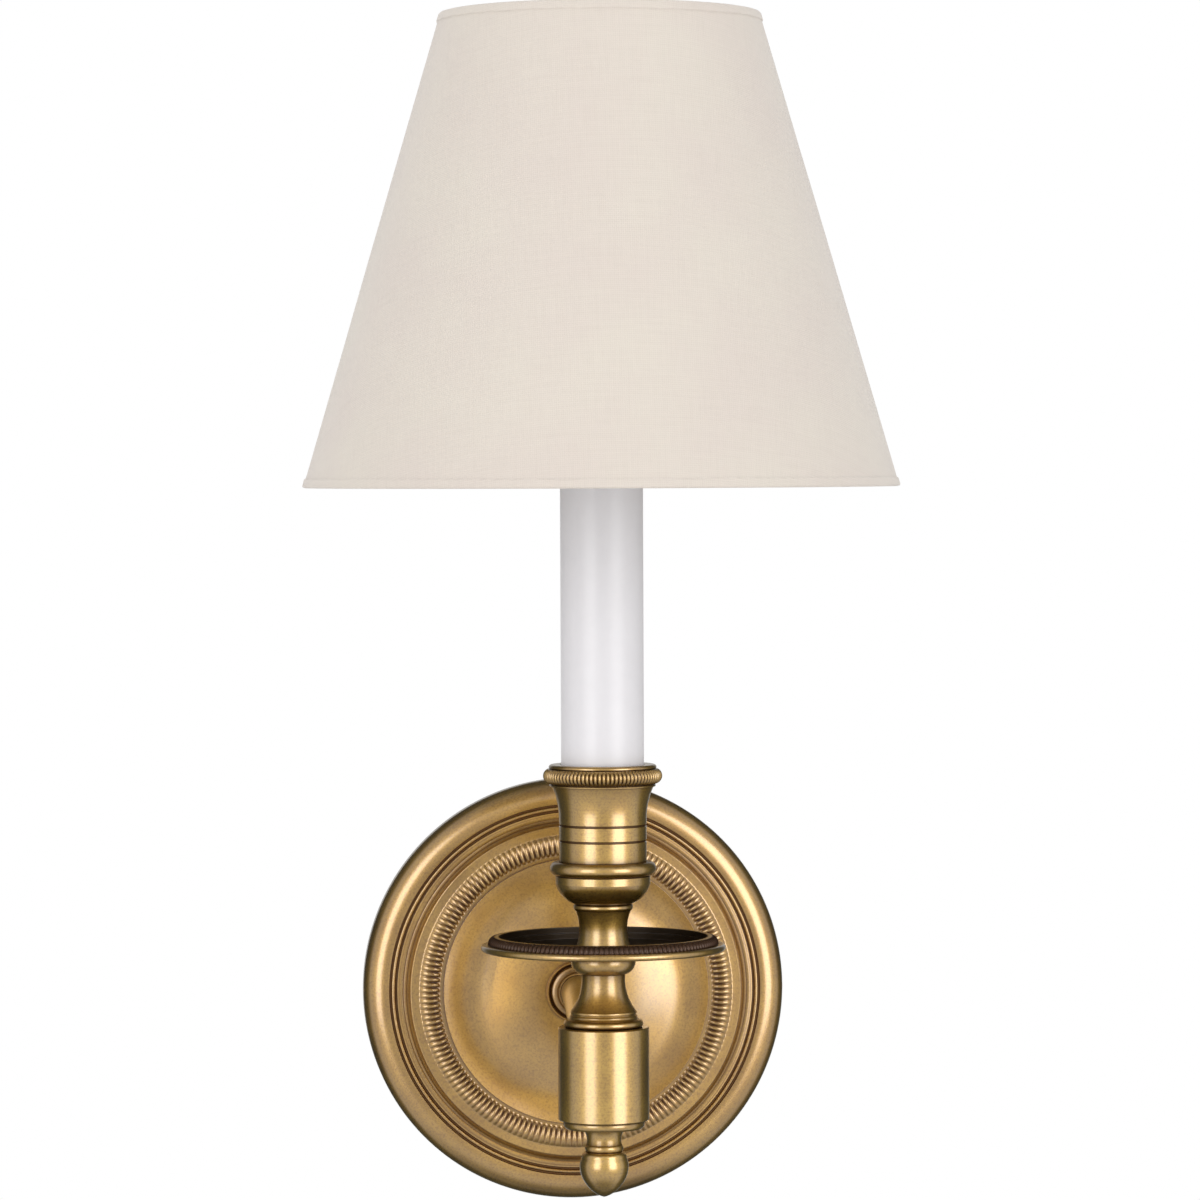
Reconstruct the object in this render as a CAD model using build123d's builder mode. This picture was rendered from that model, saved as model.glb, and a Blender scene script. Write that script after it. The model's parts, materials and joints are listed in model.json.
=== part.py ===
"""Wall light with a turned brass column, a candle sleeve and a tapered fabric shade.

Millimetres, +Z up. The origin is the middle of the backplate on the wall, the wall is the
plane y = 0, and the light stands out from it towards -Y.
"""
import os

from build123d import *

os.makedirs("parts", exist_ok=True)

# ---------------------------------------------------------------- driving dimensions
# clearances
slide_gap = 0.05            # round pieces that are pushed or screwed together
seat_gap = 0.05             # glued and sprung pieces that lie against each other
swing_gap = 0.3             # faces of pieces that turn past each other
cut_spare = 1.0             # how far a cut runs past the face that it opens

# backplate, from its edge inwards; a height is measured from the wall
plate_radius = 63.5
plate_wall = 1.4
rim_height = 4.5
ovolo_width = 7.4
ovolo_bulge = 1.9
ovolo_inner_bulge = 1.2
shoulder_height = 10.0
bead_groove_width = 0.8
bead_groove_depth = 0.7
bead_width = 0.9
bead_rise = 0.3
ridge_width = 1.8
ridge_rise = 0.3
cove_width = 2.2
cove_sag = 0.7
band_height = 13.0
band_width = 2.2
milled_ring_width = 6.4
milled_ring_rise = 1.5
ring_step_width = 1.1
disc_height = 14.2
dish_width = 5.5
dish_depth = 1.3
dish_sag = 0.15
dome_rise = 1.6

# wall bracket and its screws
bracket_thickness = 1.6
bracket_width = 22.0
bracket_end_gap = 3.3
ear_height = 6.0
ear_corner_radius = 1.5
slot_spacing = 79.4
slot_length = 14.3
slot_radius = 2.4
wire_hole_radius = 7.5
set_screw_radius = 1.5
set_screw_height = 3.5
set_screw_socket = 0.8
set_screw_socket_depth = 2.1
ground_screw_place = 20.0
ground_screw_radius = 1.9
ground_head_radius = 4.2
ground_head_height = 2.8
ground_slot_width = 1.0
ground_slot_depth = 1.4

# arm
arm_reach = 100.0
arm_drop = 14.6
arm_radius = 5.2
arm_wall = 1.0
arm_root_height = 8.4
arm_level_run = 25.0
arm_level_end = 28.0
arm_bend_radius = 45.0
arm_inset = 0.8
rosette_radius = 9.3
rosette_edge = 0.7
rosette_height = 3.6
rosette_groove = 0.6
rosette_groove_depth = 0.7
rosette_cove_sag = 0.6

# nuts, lock washers and the threaded rod through the column
rod_radius = 4.8
rod_bore = 3.4
rod_spare = 0.9
nut_height = 3.5
nut_flats = 14.0
washer_height = 0.8
washer_radius = 7.8

# column, each height measured from the piece below it
body_radius = 12.93
body_wall = 2.0
body_roof = 3.0
body_height = 26.45
body_edge = 0.3
cap_radius = 11.4
cap_height = 2.3
cap_bulge = 0.25
cap_foot_width = 0.5
cap_foot_height = 0.5
cap_plug_height = 4.0
finial_stud_radius = 2.5
finial_stud_height = 5.0
finial_top_radius = 6.4
finial_neck_radius = 5.05
finial_neck_height = 4.7
finial_neck_sag = 0.7
finial_bead_radius = 5.5
finial_bead_height = 2.0
drop_radius = 7.0
drop_shoulder = 4.3
drop_upper_inset = 0.55
drop_upper_height = 1.654
drop_length = 8.7
drop_waist_radius = 5.25
drop_waist_height = 4.87
drop_tip_radius = 1.1
drop_tip_height = 0.35
neck_bead_radius = 11.3
neck_bead_height = 2.1
neck_bead_bulge = 0.6
neck_cove_height = 1.65
neck_cove_sag = 0.55
neck_foot_radius = 9.4
neck_fillet_height = 0.9
neck_fillet_bulge = 0.2
neck_radius = 6.2
neck_height = 15.025
neck_sag = 1.0
collar_radius = 9.0
collar_height = 4.6
pan_radius = 34.75
pan_thickness = 1.8
pan_rise = 2.05
pan_rim_height = 1.9
pan_rim_width = 2.1
pan_ring_width = 3.2
pan_ring_height = 2.2
pan_ring_land = 1.6
pan_ring_bulge = 0.6
pan_step_width = 1.3
pan_step_height = 0.6
pan_step_depth = 1.0
pan_dish_edge = 0.6
stem_foot_radius = 8.4
stem_waist_radius = 6.8
stem_waist_height = 7.67
stem_head_radius = 7.9
stem_bead_radius = 8.5
stem_bead_height = 2.0
stem_height = 13.7
bowl_foot_radius = 8.4
bowl_radius = 13.5
bowl_height = 7.9
bowl_bulge = 1.0
bowl_curve_height = 5.69
bowl_edge = 0.3
bowl_fillet = 0.5
bowl_bead_radius = 15.15
bowl_bead_height = 4.0
bowl_bead_bulge = 1.7
cup_radius = 12.45
cup_height = 27.55
cup_groove_heights = (5.95, 10.35)
cup_groove_width = 0.6
cup_groove_depth = 0.45
cup_straight_height = 11.2
cup_flare_radius = 14.75
cup_flare_height = 10.0
cup_flare_sag = 0.6
cup_fillet_height = 1.0
cup_fillet_rise = 0.4
cup_ring_radius = 17.0
cup_ring_height = 4.1
cup_ring_bulge = 1.4
cup_lip_radius = 15.3
cup_lip_foot = 0.2
cup_lip_width = 1.1
cup_mouth_edge = 0.3

# candle sleeve and lamp holder
sleeve_radius = 11.75
sleeve_wall = 0.8
sleeve_length = 101.6
sleeve_seat_depth = 11.15
sleeve_fit = 0.2
holder_fit = 0.55
holder_height = 39.5
holder_floor = 9.0
holder_recess = 2.0
strap_width = 8.0
strap_thickness = 1.2
strap_tab = 7.0
strap_sleeve_gap = 0.9
rivet_radius = 1.3
rivet_head_radius = 2.4
rivet_head_height = 0.9
shell_wall = 0.5
shell_lift = 1.0
contact_width = 4.0
contact_thickness = 0.4
contact_shoulder = 4.32

# leads
lead_radius = 1.1
lead_offset = 1.4
lead_end_height = 0.4
lead_holder_depth = 4.0
lead_bend_radius = 4.8

# candelabra bulb
bulb_cap_radius = 6.0
bulb_cap_wall = 0.4
bulb_cap_height = 18.0
bulb_button_radius = 2.2
bulb_button_height = 1.6
bulb_button_shoulder = 1.65
bulb_button_shoulder_rise = 0.48
bulb_insulator_height = 2.0
bulb_insulator_ledge = 0.5
bulb_depth = 23.0
bulb_length = 98.0
glass_radius = 17.5
glass_wall = 0.7
glass_neck_height = 6.0
glass_flare_height = 30.0
glass_tip_radius = 2.4
glass_tip_height = 1.3
mount_radius = 2.2
mount_height = 24.0
filament_wire = 0.35
filament_width = 13.0
filament_height = 20.0
filament_rise = 5.0
filament_foot_height = 2.0
filament_bend_radius = 1.4

# clip that grips the bulb
clip_wire = 0.8
clip_angle = 37.0
clip_gap = 0.4
clip_loop_height = 48.0
clip_corner_radius = 9.0
clip_tip_gap = 13.4
clip_arm_inset = 7.0
clip_arm_overlap = 1.8
clip_arm_bend_radius = 2.4
clip_plate_radius = 5.0
clip_plate_height = 1.8
clip_rivet_radius = 1.6
clip_rivet_head = 3.2
clip_rivet_head_height = 1.2

# shade
shade_top_radius = 45.5
shade_bottom_radius = 84.6
shade_height = 133.2
fabric_thickness = 0.7
liner_thickness = 0.5
hem_width = 2.3
hem_rise = 0.3
frame_wire = 1.2
spider_drop = 33.4
spider_hub_radius = 9.0
spider_hub_height = 1.5
spider_wire = 1.3
spider_arms = 3
spider_bend_radius = 8.0
spider_elbow_gap = 16.0
spider_first_arm = 90.0     # degrees, towards the back

# ---------------------------------------------------------------- places that follow
lead_sides = {"live_lead": -1, "neutral_lead": 1}

bracket_half_length = plate_radius - plate_wall - bracket_end_gap
nut_radius = nut_flats / 3**0.5

body_bottom = -arm_drop - body_height / 2
body_top = body_bottom + body_height
neck_top = body_top + neck_height
collar_top = neck_top + collar_height
pan_floor = collar_top + pan_thickness
stem_top = pan_floor + stem_height
bowl_top = stem_top + bowl_height + bowl_bead_height
cup_top = bowl_top + cup_height
cap_bottom = body_bottom - cap_height

sleeve_bottom = cup_top - sleeve_seat_depth
sleeve_top = sleeve_bottom + sleeve_length
sleeve_bore = sleeve_radius - sleeve_wall
holder_top = sleeve_top - holder_recess
holder_bottom = holder_top - holder_height
holder_radius = sleeve_bore - holder_fit
holder_seat = holder_bottom + holder_floor
shell_bore = bulb_cap_radius + swing_gap
rod_hole = rod_radius + slide_gap

cavity_roof = body_top - body_roof
lower_nut_bottom = cavity_roof - washer_height - nut_height
rod_bottom = lower_nut_bottom - rod_spare
cup_nut_bottom = sleeve_bottom + washer_height
strap_foot_bottom = cup_nut_bottom + nut_height
strap_nut_bottom = strap_foot_bottom + strap_thickness
rod_top = strap_nut_bottom + nut_height + rod_spare
strap_face = sleeve_bore - holder_fit - strap_thickness - strap_sleeve_gap

bulb_button_bottom = holder_top - bulb_depth
cap_rim_bottom = bulb_button_bottom + bulb_button_height + bulb_insulator_height
cap_rim_top = cap_rim_bottom + bulb_cap_height
glass_belly = cap_rim_top + glass_flare_height
bulb_tip = bulb_button_bottom + bulb_length
glass_neck_radius = bulb_cap_radius - bulb_cap_wall - slide_gap * 2

clip_plate_bottom = bulb_tip + clip_tip_gap
hub_bottom = clip_plate_bottom + clip_plate_height
hub_top = hub_bottom + spider_hub_height
shade_top = hub_bottom + spider_drop
shade_bottom = shade_top - shade_height
shade_slope = (shade_bottom_radius - shade_top_radius) / shade_height

stem_axis = Axis((0, -arm_reach, 0), (0, 0, 1))
plate_axis = Axis((0, 0, 0), (0, -1, 0))

# Sketches of turned pieces: across is the radius, up is the height on the stem's axis,
# or the height above the wall for the pieces on the backplate.
stem_section = Plane(origin=(0, -arm_reach, 0), x_dir=(1, 0, 0), z_dir=(0, -1, 0))
plate_section = Plane(origin=(0, 0, 0), x_dir=(1, 0, 0), z_dir=(0, 0, -1))
side_section = Plane(origin=(0, -arm_reach, 0), x_dir=(0, 1, 0), z_dir=(1, 0, 0))


def stem_level(height):
    """A level plane across the stem's axis."""
    return Plane(origin=(0, -arm_reach, height))


def wall_level(height):
    """A plane that faces out of the wall, at a height above it."""
    return Plane(origin=(0, -height, 0), x_dir=(1, 0, 0), z_dir=(0, -1, 0))


def keep(piece, label):
    """Name a finished piece and write it out."""
    piece.part.label = label
    export_step(piece.part, f"parts/{label}.step")


# ---------------------------------------------------------------- wall bracket
with BuildPart() as mounting_bracket:
    with BuildSketch(wall_level(0)):
        Rectangle(2 * bracket_half_length, bracket_width)
        Circle(wire_hole_radius, mode=Mode.SUBTRACT)
        with GridLocations(slot_spacing, 0, 2, 1):
            SlotOverall(slot_length, 2 * slot_radius, mode=Mode.SUBTRACT)
        with Locations((ground_screw_place, 0)):
            Circle(ground_screw_radius + slide_gap, mode=Mode.SUBTRACT)
    extrude(amount=bracket_thickness)
    with BuildSketch(wall_level(0)):
        with GridLocations(2 * bracket_half_length - bracket_thickness, 0, 2, 1):
            Rectangle(bracket_thickness, bracket_width)
    extrude(amount=ear_height)
    ear_corners = mounting_bracket.edges().filter_by(Axis.X).group_by(Axis.Y)[0]
    fillet(ear_corners, radius=ear_corner_radius)
    with BuildSketch(Plane.YZ):
        with Locations((-set_screw_height, 0)):
            Circle(set_screw_radius + slide_gap)
    extrude(amount=plate_radius, both=True, mode=Mode.SUBTRACT)
keep(mounting_bracket, "mounting_bracket")

with BuildPart() as ground_screw:
    with BuildSketch(wall_level(0)):
        with Locations((ground_screw_place, 0)):
            Circle(ground_screw_radius)
    extrude(amount=bracket_thickness)
    with BuildSketch(wall_level(bracket_thickness)):
        with Locations((ground_screw_place, 0)):
            RegularPolygon(ground_head_radius, 6)
    extrude(amount=ground_head_height)
    with BuildSketch(wall_level(bracket_thickness + ground_head_height)):
        with Locations((ground_screw_place, 0)):
            Rectangle(2 * ground_head_radius + cut_spare, ground_slot_width)
    extrude(amount=-ground_slot_depth, mode=Mode.SUBTRACT)
keep(ground_screw, "ground_screw")

screw_length = bracket_end_gap + plate_wall + bracket_thickness
with BuildPart() as plate_set_screws:
    for side in (-1, 1):
        outer_end = Plane(
            origin=(side * (plate_radius - slide_gap), -set_screw_height, 0),
            z_dir=(-side, 0, 0),
        )
        with BuildSketch(outer_end):
            Circle(set_screw_radius)
        extrude(amount=screw_length)
        with BuildSketch(outer_end):
            RegularPolygon(set_screw_socket, 6)
        extrude(amount=set_screw_socket_depth, mode=Mode.SUBTRACT)
keep(plate_set_screws, "plate_set_screws")

# ---------------------------------------------------------------- backplate
shoulder_radius = plate_radius - ovolo_width
outer_groove = shoulder_radius - bead_groove_width
inner_bead = outer_groove - bead_width
inner_groove = inner_bead - bead_groove_width
ridge_radius = inner_groove - ridge_width
band_radius = ridge_radius - cove_width
milled_radius = band_radius - band_width
milled_edge = milled_radius - milled_ring_width
disc_radius = milled_edge - ring_step_width
dish_radius = disc_radius - dish_width
dish_floor = disc_height - dish_depth
hub_radius = rosette_radius + rosette_edge
plate_face = disc_height + dome_rise
plate_roof = plate_face - plate_wall
groove_floor = shoulder_height - bead_groove_depth

with BuildPart() as backplate:
    with BuildSketch(plate_section):
        with BuildLine():
            Polyline((0, 0), (plate_radius, 0), (plate_radius, rim_height))
            SagittaArc(
                (plate_radius, rim_height), (shoulder_radius, shoulder_height), -ovolo_bulge
            )
            Polyline(
                (shoulder_radius, shoulder_height),
                (shoulder_radius - bead_groove_width / 2, groove_floor),
                (outer_groove, shoulder_height),
            )
            SagittaArc((outer_groove, shoulder_height), (inner_bead, shoulder_height), -bead_rise)
            Polyline(
                (inner_bead, shoulder_height),
                (inner_bead - bead_groove_width / 2, groove_floor),
                (inner_groove, shoulder_height),
            )
            SagittaArc((inner_groove, shoulder_height), (ridge_radius, shoulder_height), -ridge_rise)
            SagittaArc((ridge_radius, shoulder_height), (band_radius, band_height), cove_sag)
            Line((band_radius, band_height), (milled_radius, band_height))
            SagittaArc((milled_radius, band_height), (milled_edge, band_height), -milled_ring_rise)
            Line((milled_edge, band_height), (disc_radius, band_height))
            Line((disc_radius, band_height), (disc_radius, disc_height))
            SagittaArc((disc_radius, disc_height), (dish_radius, dish_floor), dish_sag)
            TangentArc((hub_radius, plate_face), (dish_radius, dish_floor), tangent=(1, 0))
            Polyline((hub_radius, plate_face), (0, plate_face), (0, 0))
        make_face()
    revolve(axis=plate_axis)
    with BuildSketch(plate_section):
        with BuildLine():
            Polyline((0, 0), (plate_radius - plate_wall, 0), (plate_radius - plate_wall, rim_height))
            SagittaArc(
                (plate_radius - plate_wall, rim_height),
                (shoulder_radius, groove_floor - plate_wall),
                -ovolo_inner_bulge,
            )
            Polyline(
                (shoulder_radius, groove_floor - plate_wall),
                (ridge_radius - plate_wall, groove_floor - plate_wall),
                (band_radius - plate_wall, band_height - plate_wall),
                (disc_radius - plate_wall, band_height - plate_wall),
                (hub_radius, plate_roof),
                (0, plate_roof),
                (0, 0),
            )
        make_face()
    revolve(axis=plate_axis, mode=Mode.SUBTRACT)
    with BuildSketch(wall_level(0)):
        Circle(arm_radius + slide_gap)
    extrude(amount=plate_face + cut_spare, mode=Mode.SUBTRACT)
    with BuildSketch(Plane.YZ):
        with Locations((-set_screw_height, 0)):
            Circle(set_screw_radius + slide_gap)
    extrude(amount=plate_radius + cut_spare, both=True, mode=Mode.SUBTRACT)
keep(backplate, "backplate")

# ---------------------------------------------------------------- arm
body_entry = arm_reach - body_radius + body_wall + arm_inset
arm_corners = [
    (-arm_root_height, 0),
    (-arm_level_run, 0),
    (-(arm_reach - arm_level_end), -arm_drop),
    (-body_entry, -arm_drop),
]

with BuildPart() as arm_tube:
    with BuildLine(Plane.YZ) as arm_path:
        FilletPolyline(*arm_corners, radius=arm_bend_radius)
    with BuildSketch(wall_level(arm_root_height)):
        Circle(arm_radius)
        Circle(arm_radius - arm_wall, mode=Mode.SUBTRACT)
    sweep(path=arm_path.wire())
keep(arm_tube, "arm_tube")

rosette_seat = plate_face
rosette_rim = rosette_seat + rosette_edge
rosette_top = rosette_seat + rosette_height
rosette_cove_radius = rosette_radius - 2 * rosette_groove
with BuildPart() as arm_rosette:
    with BuildSketch(plate_section):
        with BuildLine():
            Polyline(
                (arm_radius + slide_gap, rosette_seat),
                (rosette_radius, rosette_seat),
                (rosette_radius, rosette_rim),
                (rosette_radius - rosette_groove, rosette_rim + rosette_groove_depth),
                (rosette_cove_radius, rosette_rim),
            )
            SagittaArc(
                (rosette_cove_radius, rosette_rim),
                (arm_radius + rosette_groove, rosette_top),
                rosette_cove_sag,
            )
            Polyline(
                (arm_radius + rosette_groove, rosette_top),
                (arm_radius + slide_gap, rosette_top),
                (arm_radius + slide_gap, rosette_seat),
            )
        make_face()
    revolve(axis=plate_axis)
keep(arm_rosette, "arm_rosette")


def arm_ring(outline, outer_height, thickness):
    """A nut or washer on the arm's root, inside the backplate."""
    with BuildPart() as ring:
        with BuildSketch(wall_level(outer_height)):
            if outline == "hex":
                RegularPolygon(nut_radius, 6)
            else:
                Circle(washer_radius)
            Circle(arm_radius + slide_gap, mode=Mode.SUBTRACT)
        extrude(amount=-thickness)
    return ring


keep(arm_ring("round", plate_roof, washer_height), "arm_lock_washer")
keep(arm_ring("hex", plate_roof - washer_height, nut_height), "arm_locknut")

# ---------------------------------------------------------------- column
with BuildPart() as stem_body:
    with BuildSketch(stem_section):
        with BuildLine():
            Polyline(
                (rod_hole, body_top),
                (rod_hole, cavity_roof),
                (body_radius - body_wall, cavity_roof),
                (body_radius - body_wall, body_bottom),
                (body_radius, body_bottom),
                (body_radius, body_top),
                close=True,
            )
        make_face()
    revolve(axis=stem_axis)
    outer_corners = stem_body.edges().filter_by(GeomType.CIRCLE).group_by(SortBy.RADIUS)[-1]
    chamfer(outer_corners, length=body_edge)
    with BuildSketch(Plane(origin=(0, -arm_reach, -arm_drop), z_dir=(0, 1, 0))):
        Circle(arm_radius + slide_gap)
    extrude(amount=body_radius + cut_spare, mode=Mode.SUBTRACT)
keep(stem_body, "stem_body")

cap_foot = cap_bottom + cap_foot_height
cap_bore = finial_stud_radius + slide_gap
cap_plug_radius = body_radius - body_wall - slide_gap
cap_plug_top = body_bottom + cap_plug_height
with BuildPart() as body_cap:
    with BuildSketch(stem_section):
        with BuildLine():
            Polyline(
                (cap_bore, cap_bottom),
                (cap_bore, cap_plug_top),
                (cap_plug_radius, cap_plug_top),
                (cap_plug_radius, body_bottom),
                (cap_radius, body_bottom),
            )
            SagittaArc((cap_radius, body_bottom), (cap_radius, cap_foot), -cap_bulge)
            Polyline(
                (cap_radius, cap_foot), (cap_radius - cap_foot_width, cap_bottom), (cap_bore, cap_bottom)
            )
        make_face()
    revolve(axis=stem_axis)
keep(body_cap, "body_cap")

finial_neck_bottom = cap_bottom - finial_neck_height
finial_bead_bottom = finial_neck_bottom - finial_bead_height
drop_belly = finial_bead_bottom - drop_shoulder
finial_tip = drop_belly - drop_length
drop_tip = (drop_tip_radius, finial_tip + drop_tip_height)
with BuildPart() as finial:
    with BuildSketch(stem_section):
        with BuildLine():
            Polyline(
                (0, finial_tip),
                (0, cap_bottom + finial_stud_height),
                (finial_stud_radius, cap_bottom + finial_stud_height),
                (finial_stud_radius, cap_bottom),
                (finial_top_radius, cap_bottom),
            )
            SagittaArc(
                (finial_top_radius, cap_bottom),
                (finial_neck_radius, finial_neck_bottom),
                -finial_neck_sag,
            )
            SagittaArc(
                (finial_neck_radius, finial_neck_bottom),
                (finial_neck_radius, finial_bead_bottom),
                finial_bead_radius - finial_neck_radius,
            )
            ThreePointArc(
                (finial_neck_radius, finial_bead_bottom),
                (drop_radius - drop_upper_inset, finial_bead_bottom - drop_upper_height),
                (drop_radius, drop_belly),
            )
            ThreePointArc(
                (drop_radius, drop_belly),
                (drop_waist_radius, drop_belly - drop_waist_height),
                drop_tip,
            )
            Line(drop_tip, (0, finial_tip))
        make_face()
    revolve(axis=stem_axis)
keep(finial, "finial")

neck_cove = body_top + neck_bead_height
neck_fillet = neck_cove + neck_cove_height
neck_foot = neck_fillet + neck_fillet_height
neck_bead_side = neck_bead_radius - neck_bead_bulge
neck_foot_side = neck_foot_radius - neck_fillet_bulge
with BuildPart() as neck:
    with BuildSketch(stem_section):
        with BuildLine():
            Polyline((rod_hole, neck_top), (rod_hole, body_top), (neck_bead_side, body_top))
            SagittaArc((neck_bead_side, body_top), (neck_bead_side, neck_cove), -neck_bead_bulge)
            SagittaArc((neck_bead_side, neck_cove), (neck_foot_side, neck_fillet), neck_cove_sag)
            SagittaArc((neck_foot_side, neck_fillet), (neck_foot_side, neck_foot), -neck_fillet_bulge)
            SagittaArc((neck_foot_side, neck_foot), (neck_radius, neck_top), neck_sag)
            Line((neck_radius, neck_top), (rod_hole, neck_top))
        make_face()
    revolve(axis=stem_axis)
keep(neck, "neck")

with BuildPart() as pan_collar:
    with BuildSketch(stem_section):
        with BuildLine():
            Polyline((rod_hole, collar_top), (rod_hole, neck_top), (neck_radius, neck_top))
            TangentArc((collar_radius, collar_top), (neck_radius, neck_top), tangent=(0, -1))
            Line((collar_radius, collar_top), (rod_hole, collar_top))
        make_face()
    revolve(axis=stem_axis)
keep(pan_collar, "pan_collar")

rim_bottom = collar_top + pan_rise
rim_top = rim_bottom + pan_rim_height
ring_radius = pan_radius - pan_rim_width
ring_top = rim_top + pan_ring_height
ring_bore = ring_radius - pan_ring_width
step_top = rim_top + pan_step_height
step_bore = ring_bore - pan_step_width
rim_round = pan_rim_height / 2
ring_land_radius = ring_radius - pan_ring_land
with BuildPart() as drip_pan:
    with BuildSketch(stem_section):
        with BuildLine():
            Polyline(
                (rod_hole, collar_top),
                (collar_radius, collar_top),
                (pan_radius - rim_round, rim_bottom),
            )
            SagittaArc(
                (pan_radius - rim_round, rim_bottom), (pan_radius - rim_round, rim_top), -rim_round
            )
            Line((pan_radius - rim_round, rim_top), (ring_radius, rim_top))
            SagittaArc((ring_radius, rim_top), (ring_land_radius, ring_top), -pan_ring_bulge)
            Polyline(
                (ring_land_radius, ring_top),
                (ring_bore, ring_top),
                (ring_bore, step_top),
                (step_bore, step_top),
                (step_bore, rim_top - pan_step_depth),
                (collar_radius + pan_dish_edge, pan_floor),
                (rod_hole, pan_floor),
                (rod_hole, collar_top),
            )
        make_face()
    revolve(axis=stem_axis)
keep(drip_pan, "drip_pan")

stem_bead = stem_top - stem_bead_height
with BuildPart() as upper_stem:
    with BuildSketch(stem_section):
        with BuildLine():
            Polyline((rod_hole, stem_top), (rod_hole, pan_floor), (stem_foot_radius, pan_floor))
            ThreePointArc(
                (stem_foot_radius, pan_floor),
                (stem_waist_radius, pan_floor + stem_waist_height),
                (stem_head_radius, stem_bead),
            )
            SagittaArc(
                (stem_head_radius, stem_bead),
                (stem_head_radius, stem_top),
                stem_head_radius - stem_bead_radius,
            )
            Line((stem_head_radius, stem_top), (rod_hole, stem_top))
        make_face()
    revolve(axis=stem_axis)
keep(upper_stem, "upper_stem")

bowl_rim = stem_top + bowl_height
bowl_curve_top = stem_top + bowl_curve_height
bead_side = bowl_bead_radius - bowl_bead_bulge
with BuildPart() as cup_bowl:
    with BuildSketch(stem_section):
        with BuildLine():
            Polyline((rod_hole, bowl_top), (rod_hole, stem_top), (bowl_foot_radius, stem_top))
            SagittaArc((bowl_foot_radius, stem_top), (bowl_radius, bowl_curve_top), -bowl_bulge)
            Polyline(
                (bowl_radius, bowl_curve_top),
                (bowl_radius, bowl_rim - bowl_edge),
                (bowl_radius - bowl_fillet, bowl_rim),
                (bead_side, bowl_rim + bowl_edge),
            )
            SagittaArc((bead_side, bowl_rim + bowl_edge), (bead_side, bowl_top), -bowl_bead_bulge)
            Line((bead_side, bowl_top), (rod_hole, bowl_top))
        make_face()
    revolve(axis=stem_axis)
keep(cup_bowl, "cup_bowl")

flare_bottom = bowl_top + cup_straight_height
flare_top = flare_bottom + cup_flare_height
ring_foot = flare_top + cup_fillet_height
ring_head = ring_foot + cup_ring_height
ring_side = cup_ring_radius - cup_ring_bulge
cup_mouth = sleeve_radius + sleeve_fit
lip_foot = ring_head + cup_lip_foot
lip_crown = cup_lip_radius - cup_lip_width
with BuildPart() as candle_cup:
    with BuildSketch(stem_section):
        with BuildLine():
            Polyline(
                (cup_mouth, sleeve_bottom),
                (rod_hole, sleeve_bottom),
                (rod_hole, bowl_top),
                (cup_radius, bowl_top),
                (cup_radius, flare_bottom),
            )
            SagittaArc((cup_radius, flare_bottom), (cup_flare_radius, flare_top), cup_flare_sag)
            Polyline(
                (cup_flare_radius, flare_top),
                (cup_flare_radius + cup_fillet_rise, flare_top + cup_fillet_height / 2),
                (cup_flare_radius, ring_foot),
                (ring_side, ring_foot),
            )
            SagittaArc((ring_side, ring_foot), (ring_side, ring_head), -cup_ring_bulge)
            Line((ring_side, ring_head), (cup_lip_radius, lip_foot))
            TangentArc((lip_crown, cup_top), (cup_lip_radius, lip_foot), tangent=(1, 0))
            Polyline(
                (lip_crown, cup_top), (cup_mouth, cup_top - cup_mouth_edge), (cup_mouth, sleeve_bottom)
            )
        make_face()
    revolve(axis=stem_axis)
    for groove_height in cup_groove_heights:
        with BuildSketch(stem_section):
            with Locations((cup_radius, bowl_top + groove_height)):
                Rectangle(2 * cup_groove_depth, cup_groove_width)
        revolve(axis=stem_axis, mode=Mode.SUBTRACT)
keep(candle_cup, "candle_cup")

# ---------------------------------------------------------------- rod and its nuts
with BuildPart() as centre_rod:
    with BuildSketch(stem_level(rod_bottom)):
        Circle(rod_radius)
        Circle(rod_bore, mode=Mode.SUBTRACT)
    extrude(amount=rod_top - rod_bottom)
keep(centre_rod, "centre_rod")


def rod_ring(outline, bottom, thickness):
    """A nut or washer on the rod."""
    with BuildPart() as ring:
        with BuildSketch(stem_level(bottom)):
            if outline == "hex":
                RegularPolygon(nut_radius, 6)
            else:
                Circle(washer_radius)
            Circle(rod_hole, mode=Mode.SUBTRACT)
        extrude(amount=thickness)
    return ring


keep(rod_ring("round", cavity_roof - washer_height, washer_height), "body_lock_washer")
keep(rod_ring("hex", lower_nut_bottom, nut_height), "body_nut")
keep(rod_ring("round", sleeve_bottom, washer_height), "cup_lock_washer")
keep(rod_ring("hex", cup_nut_bottom, nut_height), "cup_nut")
keep(rod_ring("hex", strap_nut_bottom, nut_height), "holder_nut")

# ---------------------------------------------------------------- candle sleeve
with BuildPart() as candle_sleeve:
    with BuildSketch(stem_level(sleeve_bottom)):
        Circle(sleeve_radius)
        Circle(sleeve_bore, mode=Mode.SUBTRACT)
    extrude(amount=sleeve_length)
keep(candle_sleeve, "candle_sleeve")

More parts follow.
